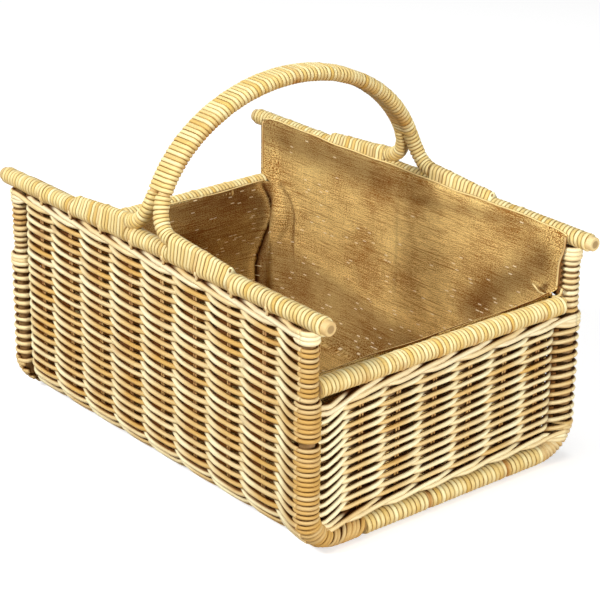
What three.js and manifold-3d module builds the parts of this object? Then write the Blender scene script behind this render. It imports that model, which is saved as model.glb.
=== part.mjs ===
// Rattan storage basket with a bound hoop handle and a cloth lining.
// Sizes are millimetres. X runs along the length, Y across the width and Z up.
// The origin is the middle of the base, on the surface that the basket stands on.

import * as THREE from 'three';
import { mergeVertices } from 'three/addons/utils/BufferGeometryUtils.js';
import Module from 'manifold-3d';

const wasm = await Module();
wasm.setup();

// Overall layout
const postSpacingX = 556; // corner post to corner post, along the length
const postSpacingY = 400; // long rail to long rail, across the width
const railHeight = 283; // axis of a long rail above the floor
const railOverhang = 35; // long rail past the axis of a corner post
const endRailHeight = 200; // axis of the lower rail across an end
const gap = 0.3; // left between pieces that touch

// Rattan poles and rods, as radii
const railPoleRadius = 8.5;
const framePoleRadius = 8;
const frameCornerRadius = 40; // bend of an end frame, on its axis
const handleRodRadius = 7;
const handleRodOffset = 8.2; // each rod's axis to the middle of the handle

// Cane bindings: how thick the cane lies, and how wide one drawn turn is
const caneThickness = 2.4;
const caneGroove = 1.5; // how deep the valley between two turns is drawn
const bundleBlend = 0.8; // difference in reach over which cane passes from one rod to the next
const railTurn = 24;
const handleTurn = 15;
const endRailTurn = 30;
const baseTurn = 30;
const baseBindingCover = 4.8; // the binding of a base rod is laid thicker
const baseBindingHalf = 150; // half length of the binding along a base rod
const railBareEnd = 3; // pole that shows past the binding

// Weavers turned round a corner post
const postTurn = 28.75;
const postCoverUpper = 4.1;
const postCoverLower = 8.4;
const postThinning = 0.8; // share of the frame's bend over which the wraps thin out

// Handle: half an ellipse that stands on the long rails, and its four legs
const handleRise = 158; // top of the arch above its springing
const springingAboveRail = 7; // springing of the arch over the rail's axis
const crotchAngle = 20; // degrees up the ellipse, where the legs part
const legFootLeft = -45; // where the left rods lie down on the rail
const legFootRight = 40;
const legBindingStart = 0.16; // share of a leg left bare at the crotch
const legBindingEnd = 0.74;
const legDrop = 0.62; // share of its drop that a leg goes on in the arch's direction
const legSweep = 0.5; // share of its foot's reach over which a leg flattens out
const tailLength = 105; // rod laid along the rail, inside the binding
const tailEndRadius = 2.8;
const tailGap = 0.7;
const bundleRoom = 1; // how far cane stands off the rail's sides where a tail lies on it
const footClearance = 17; // rail left free on the inner side of a foot

// Woven walls
const weaveThickness = 16.6;
const bendRadius = 42; // lower edge of the long walls, on the middle line
const waleHeight = 13.7; // band of long strokes under a rail
const waleProud = 1.2;
const endCornerEase = 5; // how much rounder an end wall is than the frame it fills

// Strokes of the weavers on a wall's outer face: one over each stake in each row
const wallRows = 18;
const endRows = 12;
const strokeFloor = 3.5; // from a wall's middle to the valleys between its rows
const strokeTilt = 2.4; // from one end of a stroke up to the other
const strokeMargin = 1; // flat strip left above the top row and below the bottom one
const endBandHeight = 14.6; // smooth band between an end wall's lowest row and its base rod
// Places along a stroke as shares of the distance between stakes, with its height above the
// valleys and its place in the row as shares of the full height and of the tilt
const strokeStations = {
	wall: [
		{ at: -0.5, swell: 0.2, rise: 0 },
		{ at: -0.26, swell: 0.95, rise: 0.5 },
		{ at: 0.22, swell: 1, rise: -0.5 },
	],
	end: [
		{ at: -0.5, swell: 0.2, rise: 0.5 },
		{ at: 0, swell: 1, rise: -0.5 },
	],
};

// Stakes, drawn as flat bars that stand for two thin rods side by side
const stakeWidth = 9.5;
const stakeThickness = 4;
const sideStakeCount = 8;
const sideStakePitch = 62.3;
const sideStakeShift = -13; // of the whole row along X, towards the left end
const endStakeCount = 6;
const endStakePitch = 55;
const endStakeShift = 14; // of the whole row, to the right as seen from outside that end

// Cloth lining
const liningThickness = 1.5;
const liningGap = 0.8;
const liningCorner = 20;
const liningEndBend = 20;
const liningBelowRail = 4; // top edge of the long walls' cloth under the rail
const liningAboveEndRail = 3; // top edge of the ends' cloth over the end rail's axis
const liningRows = { wall: [0, 0.5, 1], bend: [0.4, 0.7, 1] }; // shares of the wall and of the bend
const liningSteps = { corner: 4, end: 5, side: 6 };
const foldDepth = 11;
const foldWidth = 26;

// How finely round things are drawn
const ringSides = 8;
const rodSides = 6;
const bendSteps = 4;
const archSteps = 20;
const legSteps = 6;
const tailSteps = 6;

// Values that follow from the sizes above
const handleSpringing = railHeight + springingAboveRail;
const postX = postSpacingX / 2;
const postY = postSpacingY / 2;
const flat = Math.cos(Math.PI / ringSides); // a side of a drawn ring against its corner
const boreRadius = (radius) => radius / flat + gap;
const reach = (radius, cover) => (boreRadius(radius) + cover) * flat;
const railBound = reach(railPoleRadius, caneThickness);
const postUpper = reach(framePoleRadius, postCoverUpper);
const postLower = reach(framePoleRadius, postCoverLower);
const baseBound = reach(framePoleRadius, baseBindingCover);
const frameBottom = baseBound;
const railUnderside = railHeight - railBound;
const endRailUnderside = endRailHeight - railBound;
const weaveHalf = weaveThickness / 2;
const bendCentreZ = weaveHalf + bendRadius;
const bendCentreY = postY - bendRadius;
const wallTop = railUnderside - gap - waleHeight;
const endWallTop = endRailUnderside - gap - waleHeight;
const endBottom = frameBottom + baseBound + gap;

const finishes = {
	pole: { color: 0xd9b57c, roughness: 0.55, metalness: 0 },
	cane: { color: 0xe6c488, roughness: 0.45, metalness: 0 },
	weave: { color: 0xd8ae68, roughness: 0.55, metalness: 0 },
	stake: { color: 0x8a5f33, roughness: 0.7, metalness: 0 },
	cloth: { color: 0x9c6f3c, roughness: 0.95, metalness: 0 },
};

const basket = new THREE.Group();

function add(name, finish, geometry) {
	const mesh = new THREE.Mesh(geometry, new THREE.MeshStandardMaterial(finishes[finish]));
	mesh.name = name;
	basket.add(mesh);
	return mesh;
}

// Solids made of rings of points

function closedBody(points, faces) {
	const at = (i) => points[i];
	let volume = 0;
	for (const [a, b, c] of faces) {
		volume += at(a).dot(new THREE.Vector3().crossVectors(at(b), at(c)));
	}
	const turned = volume < 0 ? faces.map(([a, b, c]) => [a, c, b]) : faces;
	const geometry = new THREE.BufferGeometry();
	geometry.setAttribute(
		'position',
		new THREE.Float32BufferAttribute(points.flatMap((p) => [p.x, p.y, p.z]), 3),
	);
	geometry.setIndex(turned.flat());
	geometry.computeVertexNormals();
	return geometry;
}

function addQuad(faces, a, b, c, d) {
	for (const face of [[a, b, c], [a, c, d]]) {
		if (new Set(face).size === 3) faces.push(face);
	}
}

// A line through stations, with a frame at each that doesn't twist along the way
class Route {
	constructor(stations, firstNormal) {
		this.stations = stations;
		this.distances = [0];
		for (let i = 1; i < stations.length; i++) {
			this.distances.push(this.distances[i - 1] + stations[i].distanceTo(stations[i - 1]));
		}
		this.length = this.distances.at(-1);
		let normal = firstNormal.clone();
		this.frames = stations.map((here, i) => {
			const before = stations[Math.max(i - 1, 0)];
			const after = stations[Math.min(i + 1, stations.length - 1)];
			const tangent = i === 0 || i === stations.length - 1
				? after.clone().sub(before)
				: after.clone().sub(here).normalize().add(here.clone().sub(before).normalize());
			tangent.normalize();
			normal = normal.clone().addScaledVector(tangent, -normal.dot(tangent)).normalize();
			return { centre: here, normal, side: tangent.cross(normal) };
		});
	}

	at(distance) {
		let i = 0;
		while (i < this.distances.length - 2 && this.distances[i + 1] < distance) i++;
		const share = (distance - this.distances[i]) / (this.distances[i + 1] - this.distances[i]);
		const [here, next] = [this.frames[i], this.frames[i + 1]];
		return {
			centre: here.centre.clone().lerp(next.centre, share),
			normal: here.normal.clone().lerp(next.normal, share).normalize(),
			side: here.side.clone().lerp(next.side, share).normalize(),
		};
	}

	place(frame, u, v) {
		return frame.centre.clone().addScaledVector(frame.normal, u).addScaledVector(frame.side, v);
	}
}

// A rod along a route, whose radius may change along the way
function rod(route, radiusAt, sides = rodSides) {
	const points = [];
	const faces = [];
	route.frames.forEach((frame, i) => {
		const radius = radiusAt(route.distances[i]);
		for (let j = 0; j < sides; j++) {
			const angle = ((j + 0.5) * 2 * Math.PI) / sides;
			points.push(route.place(frame, radius * Math.cos(angle), radius * Math.sin(angle)));
		}
	});
	const last = route.frames.length - 1;
	for (let i = 0; i < last; i++) {
		for (let j = 0; j < sides; j++) {
			const k = (j + 1) % sides;
			addQuad(faces, i * sides + j, i * sides + k, (i + 1) * sides + k, (i + 1) * sides + j);
		}
	}
	for (let j = 1; j < sides - 1; j++) {
		faces.push([0, j + 1, j]);
		faces.push([last * sides, last * sides + j, last * sides + j + 1]);
	}
	return closedBody(points, faces);
}

// The point of a bundle's outline that faces an angle, for rods given as circles. Where two
// rods reach equally far, the point lies between them, so that it never jumps along a route.
function bundlePoint(circles, angle, cover) {
	const [cos, sin] = [Math.cos(angle), Math.sin(angle)];
	const [most, next] = circles.map(({ u, v, radius }) => {
		const bore = boreRadius(radius);
		return { support: u * cos + v * sin + bore, u: u + (bore + cover) * cos, v: v + (bore + cover) * sin };
	}).sort((a, b) => b.support - a.support);
	if (!next) return [most.u, most.v];
	const share = Math.max(1 - (most.support - next.support) / bundleBlend, 0) / 2;
	return [THREE.MathUtils.lerp(most.u, next.u, share), THREE.MathUtils.lerp(most.v, next.v, share)];
}

// Cane wound tightly round a bundle of rods, as one unbroken turn after turn:
// the ridge and the groove are two helices, and the bore is open at both ends
function winding(route, from, to, circlesAt, coverAt, turn, boreCirclesAt = circlesAt) {
	const points = [];
	const faces = [];
	const known = new Map();
	const pointAt = (distance, m, cover, circles) => {
		const angle = ((m + 0.5) * 2 * Math.PI) / ringSides;
		const [u, v] = bundlePoint(circles, angle, cover);
		return route.place(route.at(distance), u, v);
	};
	const side = (m) => ((m % ringSides) + ringSides) % ringSides;
	const outer = (line, m) => {
		const distance = from + (m / ringSides + (line === 'groove' ? 0.5 : 0)) * turn;
		const held = distance <= from ? from : distance >= to ? to : null;
		const key = held === null ? `${line} ${m}` : `${held} ${side(m)}`;
		if (!known.has(key)) {
			const here = held ?? distance;
			const cover = coverAt(here) - (held !== null || line === 'groove' ? caneGroove : 0);
			known.set(key, points.push(pointAt(here, m, cover, circlesAt(here))) - 1);
		}
		return known.get(key);
	};
	const lastStep = ringSides * (Math.ceil((to - from) / turn) + 1);
	for (let m = -2 * ringSides; m < lastStep; m++) {
		addQuad(faces, outer('ridge', m), outer('ridge', m + 1), outer('groove', m + 1), outer('groove', m));
		const next = m + ringSides;
		addQuad(
			faces,
			outer('groove', m),
			outer('groove', m + 1),
			outer('ridge', next + 1),
			outer('ridge', next),
		);
	}
	const between = route.distances.filter((d) => d > from + gap && d < to - gap);
	const bore = [from, ...between, to].map((distance) => {
		const start = points.length;
		for (let j = 0; j < ringSides; j++) points.push(pointAt(distance, j, 0, boreCirclesAt(distance)));
		return start;
	});
	for (let j = 0; j < ringSides; j++) {
		const k = (j + 1) % ringSides;
		for (let i = 0; i < bore.length - 1; i++) {
			addQuad(faces, bore[i] + k, bore[i] + j, bore[i + 1] + j, bore[i + 1] + k);
		}
		const [first, last] = [(n) => known.get(`${from} ${n}`), (n) => known.get(`${to} ${n}`)];
		addQuad(faces, first(k), first(j), bore[0] + j, bore[0] + k);
		addQuad(faces, last(j), last(k), bore.at(-1) + k, bore.at(-1) + j);
	}
	return closedBody(points, faces);
}

const one = (radius) => () => [{ u: 0, v: 0, radius }];
const same = (value) => () => value;
const vector = (x, y, z) => new THREE.Vector3(x, y, z);

// Solids cut out of one another

function toSolid(geometry) {
	const bare = geometry.clone();
	bare.deleteAttribute('normal');
	bare.deleteAttribute('uv');
	const merged = mergeVertices(bare, 1e-4);
	return new wasm.Manifold(new wasm.Mesh({
		numProp: 3,
		vertProperties: new Float32Array(merged.getAttribute('position').array),
		triVerts: new Uint32Array(merged.getIndex().array),
	}));
}

function fromSolid(solid) {
	const mesh = solid.getMesh();
	const geometry = new THREE.BufferGeometry();
	geometry.setAttribute('position', new THREE.BufferAttribute(mesh.vertProperties, 3));
	geometry.setIndex(new THREE.BufferAttribute(mesh.triVerts, 1));
	geometry.computeVertexNormals();
	return geometry;
}

function cut(geometry, tools) {
	let solid = toSolid(geometry);
	for (const tool of tools) solid = solid.subtract(toSolid(tool));
	return fromSolid(solid);
}

function overlap(geometry, other) {
	return fromSolid(toSolid(geometry).intersect(toSolid(other)));
}

// A shape drawn in Y and Z, extruded along X
function alongX(shape, fromX, toX) {
	const options = { depth: toX - fromX, bevelEnabled: false, curveSegments: bendSteps / 2 };
	const turned = new THREE.Matrix4().makeBasis(vector(0, 1, 0), vector(0, 0, 1), vector(1, 0, 0));
	return new THREE.ExtrudeGeometry(shape, options).applyMatrix4(turned.setPosition(fromX, 0, 0));
}

// A shape drawn in X and Z, extruded along Y
function alongY(shape, fromY, toY) {
	const options = { depth: toY - fromY, bevelEnabled: false };
	const turned = new THREE.Matrix4().makeBasis(vector(1, 0, 0), vector(0, 0, 1), vector(0, -1, 0));
	return new THREE.ExtrudeGeometry(shape, options).applyMatrix4(turned.setPosition(0, toY, 0));
}

function block(low, high) {
	const size = high.map((value, i) => value - low[i]);
	const middle = high.map((value, i) => (value + low[i]) / 2);
	return new THREE.BoxGeometry(...size).translate(...middle);
}

// Places shared by several pieces

const spread = (count, spacing) => Array.from({ length: count }, (_, i) => (i - (count - 1) / 2) * spacing);
const sideStakes = spread(sideStakeCount, sideStakePitch).map((x) => x + sideStakeShift);
const endStakes = (sign) => spread(endStakeCount, endStakePitch).map((y) => y + sign * endStakeShift);
const sides = [['front', -1], ['back', 1]];
const ends = [['right', 1], ['left', -1]];

// End frames: one pole bent into a U makes two corner posts and a base rod

function frameRoute(x) {
	const stations = [vector(x, -postY, railUnderside - gap)];
	for (const sign of [-1, 1]) {
		for (let i = 0; i <= bendSteps; i++) {
			const angle = ((sign < 0 ? i : bendSteps - i) / bendSteps) * (Math.PI / 2);
			stations.push(vector(
				x,
				sign * (postY - frameCornerRadius * (1 - Math.cos(angle))),
				frameBottom + frameCornerRadius * (1 - Math.sin(angle)),
			));
		}
	}
	stations.push(vector(x, postY, railUnderside - gap));
	return new Route(stations, vector(1, 0, 0));
}

function makeEndFrames() {
	for (const [end, sign] of ends) {
		const route = frameRoute(sign * postX);
		const middle = route.length / 2;
		const circles = one(framePoleRadius);
		add(`${end}_end_frame_pole`, 'pole', rod(route, same(framePoleRadius)));
		add(`${end}_base_binding`, 'cane', winding(
			route,
			middle - baseBindingHalf,
			middle + baseBindingHalf,
			circles,
			same(baseBindingCover),
			baseTurn,
		));
		const upperPart = railUnderside + gap - endRailUnderside + postTurn / 2;
		const straight = railUnderside - gap - frameBottom - frameCornerRadius;
		const bend = middle - baseBindingHalf - straight;
		const coverFromTop = (distance) => {
			if (distance < upperPart) return postCoverUpper;
			if (distance < straight) return postCoverLower;
			const share = Math.min((distance - straight) / (bend * postThinning), 1);
			return THREE.MathUtils.lerp(postCoverLower, baseBindingCover, share);
		};
		const wrapped = middle - baseBindingHalf - gap;
		add(`front_${end}_post_wraps`, 'weave', winding(route, 0, wrapped, circles, coverFromTop, postTurn));
		const coverFromFar = (distance) => coverFromTop(route.length - distance);
		add(`back_${end}_post_wraps`, 'weave', winding(
			route,
			route.length - wrapped,
			route.length,
			circles,
			coverFromFar,
			postTurn,
		));
	}
}

// Rails across the two ends

function makeEndRails() {
	for (const [end, sign] of ends) {
		const half = postY - postUpper - gap;
		const route = new Route(
			[vector(sign * postX, -half, endRailHeight), vector(sign * postX, half, endRailHeight)],
			vector(1, 0, 0),
		);
		add(`${end}_end_rail_pole`, 'pole', rod(route, same(railPoleRadius)));
		const bare = 2 * gap;
		add(`${end}_end_rail_binding`, 'cane', winding(
			route,
			bare,
			route.length - bare,
			one(railPoleRadius),
			same(caneThickness),
			endRailTurn,
		));
	}
}

// Handle rods: tail, leg, arch, leg and tail in one length

const tailHeight = (radius) => railHeight + railPoleRadius + tailGap + radius;

function legCurve(foot, offset, sideSign) {
	const angle = THREE.MathUtils.degToRad(crotchAngle);
	const crotch = vector(
		offset,
		sideSign * postY * Math.cos(angle),
		handleSpringing + handleRise * Math.sin(angle),
	);
	const down = vector(0, sideSign * postY * Math.sin(angle), -handleRise * Math.cos(angle)).normalize();
	const landing = vector(foot, sideSign * postY, tailHeight(handleRodRadius));
	const drop = crotch.z - landing.z;
	const outward = Math.sign(foot);
	return new THREE.CubicBezierCurve3(
		crotch,
		crotch.clone().addScaledVector(down, drop * legDrop),
		landing.clone().add(vector(-outward * Math.abs(foot) * legSweep, 0, 0)),
		landing,
	);
}

function archStations(offset) {
	const start = THREE.MathUtils.degToRad(crotchAngle);
	return Array.from({ length: archSteps + 1 }, (_, i) => {
		const angle = Math.PI - start - (i / archSteps) * (Math.PI - 2 * start);
		return vector(offset, postY * Math.cos(angle), handleSpringing + handleRise * Math.sin(angle));
	});
}

function handleRoute(foot, offset) {
	const outward = Math.sign(foot);
	const tailEnd = (sign) => vector(foot + outward * tailLength, sign * postY, tailHeight(tailEndRadius));
	const leg = (sign) => legCurve(foot, offset, sign).getPoints(legSteps);
	const arch = archStations(offset).slice(1, -1);
	const stations = [tailEnd(-1), ...leg(-1).reverse(), ...arch, ...leg(1), tailEnd(1)];
	return new Route(stations, vector(0, 0, 1));
}

function handleRadiusAt(route) {
	const fromEnd = (distance) => Math.min(distance, route.length - distance);
	return (distance) => {
		const share = Math.min(fromEnd(distance) / route.distances[1], 1);
		return THREE.MathUtils.lerp(tailEndRadius, handleRodRadius, share);
	};
}

function makeHandle() {
	for (const [name, foot, sign] of [['left', legFootLeft, -1], ['right', legFootRight, 1]]) {
		const route = handleRoute(foot, sign * handleRodOffset);
		const radiusAt = handleRadiusAt(route);
		add(`handle_${name}_rod`, 'pole', rod(route, radiusAt));
		const landing = route.distances[1];
		const crotch = route.distances[1 + legSteps];
		const legLength = crotch - landing;
		for (const [side, sideSign] of sides) {
			const near = landing + (1 - legBindingEnd) * legLength;
			const far = crotch - legBindingStart * legLength;
			const [from, to] = sideSign < 0 ? [near, far] : [route.length - far, route.length - near];
			add(`${side}_${name}_leg_binding`, 'cane', winding(
				route,
				from,
				to,
				one(handleRodRadius),
				same(caneThickness),
				handleTurn,
			));
		}
	}
	const bundle = same([
		{ u: 0, v: -handleRodOffset, radius: handleRodRadius },
		{ u: 0, v: handleRodOffset, radius: handleRodRadius },
	]);
	const archRoute = new Route(archStations(0), vector(0, -1, 0));
	add('handle_binding', 'cane', winding(
		archRoute,
		0,
		archRoute.length,
		bundle,
		same(caneThickness),
		handleTurn,
	));
}

// Long rails, each bound in three stretches that leave room for the feet of the handle

function makeRails() {
	const railHalf = postX + railOverhang;
	const tailStep = 2 * gap;
	const tailStops = [legFootLeft, legFootRight].flatMap((foot) => {
		const along = (distance) => foot + Math.sign(foot) * distance;
		const shares = Array.from({ length: tailSteps }, (_, i) => (i + 1) / tailSteps);
		return [...shares.map((share) => along(share * tailLength)), along(tailLength + tailStep)];
	});
	// The rail, and with it the tail of a rod up to a little past the tail's end
	const bundleAt = (past) => (distance) => {
		const x = distance - railHalf;
		const foot = x < 0 ? legFootLeft : legFootRight;
		const along = (x - foot) * Math.sign(foot);
		if (along >= -gap && along <= tailLength + past) {
			const share = THREE.MathUtils.clamp(along / tailLength, 0, 1);
			const radius = THREE.MathUtils.lerp(handleRodRadius, tailEndRadius, share);
			return [
				{ u: bundleRoom, v: 0, radius: railPoleRadius + bundleRoom },
				{ u: tailHeight(radius) - railHeight, v: 0, radius: radius + tailGap },
			];
		}
		return [{ u: 0, v: 0, radius: railPoleRadius }];
	};
	for (const [side, sign] of sides) {
		const stops = [-railHalf, ...tailStops, railHalf].sort((a, b) => a - b);
		const route = new Route(stops.map((x) => vector(x, sign * postY, railHeight)), vector(0, 0, 1));
		add(`${side}_rail_pole`, 'pole', rod(
			new Route([route.stations[0], route.stations.at(-1)], vector(0, 0, 1)),
			same(railPoleRadius),
			ringSides,
		));
		const stretches = [
			['left', railBareEnd, railHalf + legFootLeft],
			['middle', railHalf + legFootLeft + footClearance, railHalf + legFootRight - footClearance],
			['right', railHalf + legFootRight, route.length - railBareEnd],
		];
		for (const [part, from, to] of stretches) {
			const [outer, bore] = part === 'middle'
				? [one(railPoleRadius), one(railPoleRadius)]
				: [bundleAt(railTurn / 2 + gap), bundleAt(gap)];
			const cover = same(caneThickness);
			add(`${side}_rail_${part}_binding`, 'cane', winding(route, from, to, outer, cover, railTurn, bore));
		}
	}
}

// Side stakes: each runs down one long wall, under the base and up the other

function uOutline(halfThickness, top) {
	const [outerR, innerR] = [bendRadius + halfThickness, bendRadius - halfThickness];
	const [right, down] = [0, -Math.PI / 2];
	const shape = new THREE.Shape();
	shape.moveTo(-postY + halfThickness, top);
	shape.lineTo(-postY - halfThickness, top);
	shape.absarc(-bendCentreY, bendCentreZ, outerR, Math.PI, 1.5 * Math.PI, false);
	shape.absarc(bendCentreY, bendCentreZ, outerR, down, right, false);
	shape.lineTo(postY + halfThickness, top);
	shape.lineTo(postY - halfThickness, top);
	shape.absarc(bendCentreY, bendCentreZ, innerR, right, down, true);
	shape.absarc(-bendCentreY, bendCentreZ, innerR, 1.5 * Math.PI, Math.PI, true);
	shape.closePath();
	return shape;
}

function makeSideStakes() {
	const top = railUnderside - 2 * gap;
	sideStakes.forEach((x, i) => {
		const bar = alongX(uOutline(stakeThickness / 2, top), x - stakeWidth / 2, x + stakeWidth / 2);
		add(`side_stake_${i + 1}`, 'stake', bar);
	});
}

const sideChannels = () => sideStakes.map((x) => alongX(
	uOutline(stakeThickness / 2 + gap, railHeight),
	x - stakeWidth / 2 - gap,
	x + stakeWidth / 2 + gap,
));

// Strokes: a slab with a flat back, whose front swells over each stake in each row. Its places
// are given across the wall, up, and out from the wall's middle.

function strokeSlab({ stakes, stations, pitch, lean, rows, band, low, high, place }) {
	const first = Math.min(...stakes);
	const columns = [];
	for (let k = -2; k < stakes.length + 2; k++) {
		for (const { at, swell, rise } of stations) {
			columns.push({ across: first + (k - lean * at) * pitch, swell, rise });
		}
	}
	columns.sort((a, b) => a.across - b.across);
	const step = (high - low - 2 * strokeMargin) / (2 * rows);
	const lines = band > 0
		? [{ up: low - band - strokeMargin, moves: 0, full: true }, { up: low, moves: 0, full: true }]
		: [{ up: low - strokeMargin, moves: 0, share: 0 }];
	for (let r = 0; r <= 2 * rows; r++) {
		const inside = r > 0 && r < 2 * rows;
		lines.push({ up: low + strokeMargin + r * step, moves: inside ? 1 : 0, share: r % 2 });
	}
	lines.push({ up: high + strokeMargin, moves: 0, share: 0 });
	const points = [];
	for (const { up, moves, share, full } of lines) {
		for (const { across, swell, rise } of columns) {
			const out = strokeFloor + (full ? 1 : share * swell) * (weaveHalf - strokeFloor);
			points.push(place(across, up + moves * rise * strokeTilt, out));
		}
	}
	const faces = [];
	const [count, last] = [columns.length, lines.length - 1];
	for (let i = 0; i < last; i++) {
		for (let j = 0; j < count - 1; j++) {
			const a = i * count + j;
			addQuad(faces, a, a + 1, a + count + 1, a + count);
		}
	}
	// The flat back has only four corners, and each edge of the front fans out from one of them
	const back = points.length;
	for (const [line, column] of [[0, 0], [0, count - 1], [last, count - 1], [last, 0]]) {
		points.push(place(columns[column].across, lines[line].up, -weaveHalf));
	}
	const rim = [
		lines.map((_, i) => i * count).reverse(),
		columns.map((_, j) => j),
		lines.map((_, i) => i * count + count - 1),
		columns.map((_, j) => last * count + j).reverse(),
	];
	rim.forEach((edge, k) => {
		const corner = back + k;
		for (let i = 0; i < edge.length - 1; i++) faces.push([edge[i + 1], edge[i], corner]);
		faces.push([corner, edge[0], back + ((k + 3) % 4)]);
	});
	addQuad(faces, back + 3, back + 2, back + 1, back);
	return closedBody(points, faces);
}

// Long walls, their rounded lower edges, the base and the bands under the rails

function sideWallShape() {
	const narrow = postX - postLower - gap;
	const wide = postX - postUpper - gap;
	const step = endRailUnderside;
	const shape = new THREE.Shape();
	shape.moveTo(-narrow, bendCentreZ + gap);
	shape.lineTo(narrow, bendCentreZ + gap);
	shape.lineTo(narrow, step);
	shape.lineTo(wide, step);
	shape.lineTo(wide, wallTop);
	shape.lineTo(-wide, wallTop);
	shape.lineTo(-wide, step);
	shape.lineTo(-narrow, step);
	shape.closePath();
	return shape;
}

function bendShape(sign) {
	const [outerR, innerR] = [bendRadius + weaveHalf, bendRadius - weaveHalf];
	const y = sign * bendCentreY;
	const down = -Math.PI / 2;
	const level = sign < 0 ? -Math.PI : 0;
	const clockwise = sign < 0;
	const shape = new THREE.Shape();
	shape.absarc(y, bendCentreZ, outerR, down, level, clockwise);
	shape.absarc(y, bendCentreZ, innerR, level, down, !clockwise);
	shape.closePath();
	return shape;
}

function makeSideWeave() {
	const channels = sideChannels();
	const narrow = postX - postLower - gap;
	const wide = postX - postUpper - gap;
	for (const [side, sign] of sides) {
		const y = sign * postY;
		const strokes = strokeSlab({
			stakes: sideStakes.map((x) => -sign * x),
			stations: strokeStations.wall,
			pitch: sideStakePitch,
			lean: -1,
			rows: wallRows,
			band: 0,
			low: bendCentreZ + gap,
			high: wallTop,
			place: (across, up, out) => vector(-sign * across, y + sign * out, up),
		});
		const wall = overlap(strokes, alongY(sideWallShape(), y - weaveThickness, y + weaveThickness));
		add(`${side}_wall_weave`, 'weave', cut(wall, channels));
		add(`${side}_bend_weave`, 'weave', cut(alongX(bendShape(sign), -narrow, narrow), channels));
		const inner = y - sign * weaveHalf;
		const outer = y + sign * (weaveHalf + waleProud);
		const band = block(
			[-wide, Math.min(inner, outer), wallTop + gap],
			[wide, Math.max(inner, outer), railUnderside - gap],
		);
		add(`${side}_wale`, 'weave', cut(band, channels));
	}
	const halfX = postX - baseBound - gap;
	const halfY = bendCentreY - gap;
	const base = block([-halfX, -halfY, 0], [halfX, halfY, weaveThickness]);
	add('base_weave', 'weave', cut(base, channels));
}

// End walls, their stakes and the bands under the end rails

function endWallShape() {
	const half = postY - postLower - gap;
	const centreY = postY - frameCornerRadius - endCornerEase;
	const centreZ = frameBottom + frameCornerRadius + endCornerEase;
	const across = half - centreY;
	const down = centreZ - endBottom;
	const shape = new THREE.Shape();
	shape.moveTo(half, endWallTop);
	shape.lineTo(-half, endWallTop);
	shape.absellipse(-centreY, centreZ, across, down, Math.PI, 1.5 * Math.PI, false, 0);
	shape.absellipse(centreY, centreZ, across, down, -Math.PI / 2, 0, false, 0);
	shape.closePath();
	return shape;
}

function makeEndWeave() {
	const stakeBottom = endBottom + gap;
	const stakeTop = endRailUnderside - 2 * gap;
	const half = postY - postLower - gap;
	for (const [end, sign] of ends) {
		const x = sign * postX;
		const bar = (y, margin, low, high) => block(
			[x - stakeThickness / 2 - margin, y - stakeWidth / 2 - margin, low],
			[x + stakeThickness / 2 + margin, y + stakeWidth / 2 + margin, high],
		);
		const channels = endStakes(sign).map((y) => bar(y, gap, 0, railHeight));
		const strokes = strokeSlab({
			stakes: endStakes(sign).map((y) => sign * y),
			stations: strokeStations.end,
			pitch: endStakePitch,
			lean: 1,
			rows: endRows,
			band: endBandHeight,
			low: endBottom + endBandHeight,
			high: endWallTop,
			place: (across, up, out) => vector(x + sign * out, sign * across, up),
		});
		const wall = overlap(strokes, alongX(endWallShape(), x - weaveThickness, x + weaveThickness));
		add(`${end}_end_weave`, 'weave', cut(wall, channels));
		const inner = x - sign * weaveHalf;
		const outer = x + sign * (weaveHalf + waleProud);
		const band = block(
			[Math.min(inner, outer), -half, endWallTop + gap],
			[Math.max(inner, outer), half, endRailUnderside - gap],
		);
		add(`${end}_end_wale`, 'weave', cut(band, channels));
		endStakes(sign).forEach((y, i) => {
			add(`${end}_end_stake_${i + 1}`, 'stake', bar(y, 0, stakeBottom, stakeTop));
		});
	}
}

// Cloth lining: a tub of cloth with high sides, low ends and a fold in one corner

const liningHalf = {
	x: postX - railBound - liningGap,
	y: postY - weaveHalf - liningGap,
};
const liningFloor = weaveThickness + liningGap;
const liningSideTop = railUnderside - liningBelowRail;
const liningEndTop = endRailHeight + liningAboveEndRail;
const liningStep = 0.6; // share of a corner where the top edge steps from low to high
const liningSideBend = bendRadius - weaveHalf - liningGap;

// Plan points of a rounded rectangle, anticlockwise from the middle of the right end
function liningColumns() {
	const columns = [];
	const { corner: cornerSteps, end: endSteps, side: sideSteps } = liningSteps;
	const quarter = (signX, signY, forward) => {
		const steps = Array.from({ length: cornerSteps + 1 }, (_, i) => i / cornerSteps);
		const ordered = forward ? steps : steps.reverse();
		return ordered.map((share) => ({ signX, signY, share }));
	};
	const straight = (count, make) => Array.from({ length: count - 1 }, (_, i) => make((i + 1) / count));
	columns.push(...straight(endSteps, (t) => ({ signX: 1, along: 2 * t - 1, side: false })));
	columns.push(...quarter(1, 1, true));
	columns.push(...straight(sideSteps, (t) => ({ signY: 1, along: 1 - 2 * t, side: true })));
	columns.push(...quarter(-1, 1, false));
	columns.push(...straight(endSteps, (t) => ({ signX: -1, along: 1 - 2 * t, side: false })));
	columns.push(...quarter(-1, -1, true));
	columns.push(...straight(sideSteps, (t) => ({ signY: -1, along: 2 * t - 1, side: true })));
	columns.push(...quarter(1, -1, false));
	return columns;
}

// A column's share tells how far it stands round its corner: 0 at the end wall, 1 at the long wall
function liningPlan(column, insetX, insetY) {
	const halfX = liningHalf.x - insetX;
	const halfY = liningHalf.y - insetY;
	const radius = Math.max(liningCorner - Math.min(insetX, insetY), 1);
	if (column.share !== undefined) {
		const angle = column.share * (Math.PI / 2);
		return [
			column.signX * (halfX - radius + radius * Math.cos(angle)),
			column.signY * (halfY - radius + radius * Math.sin(angle)),
		];
	}
	if (column.side) return [column.along * (halfX - radius), column.signY * halfY];
	return [column.signX * halfX, column.along * (halfY - radius)];
}

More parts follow.
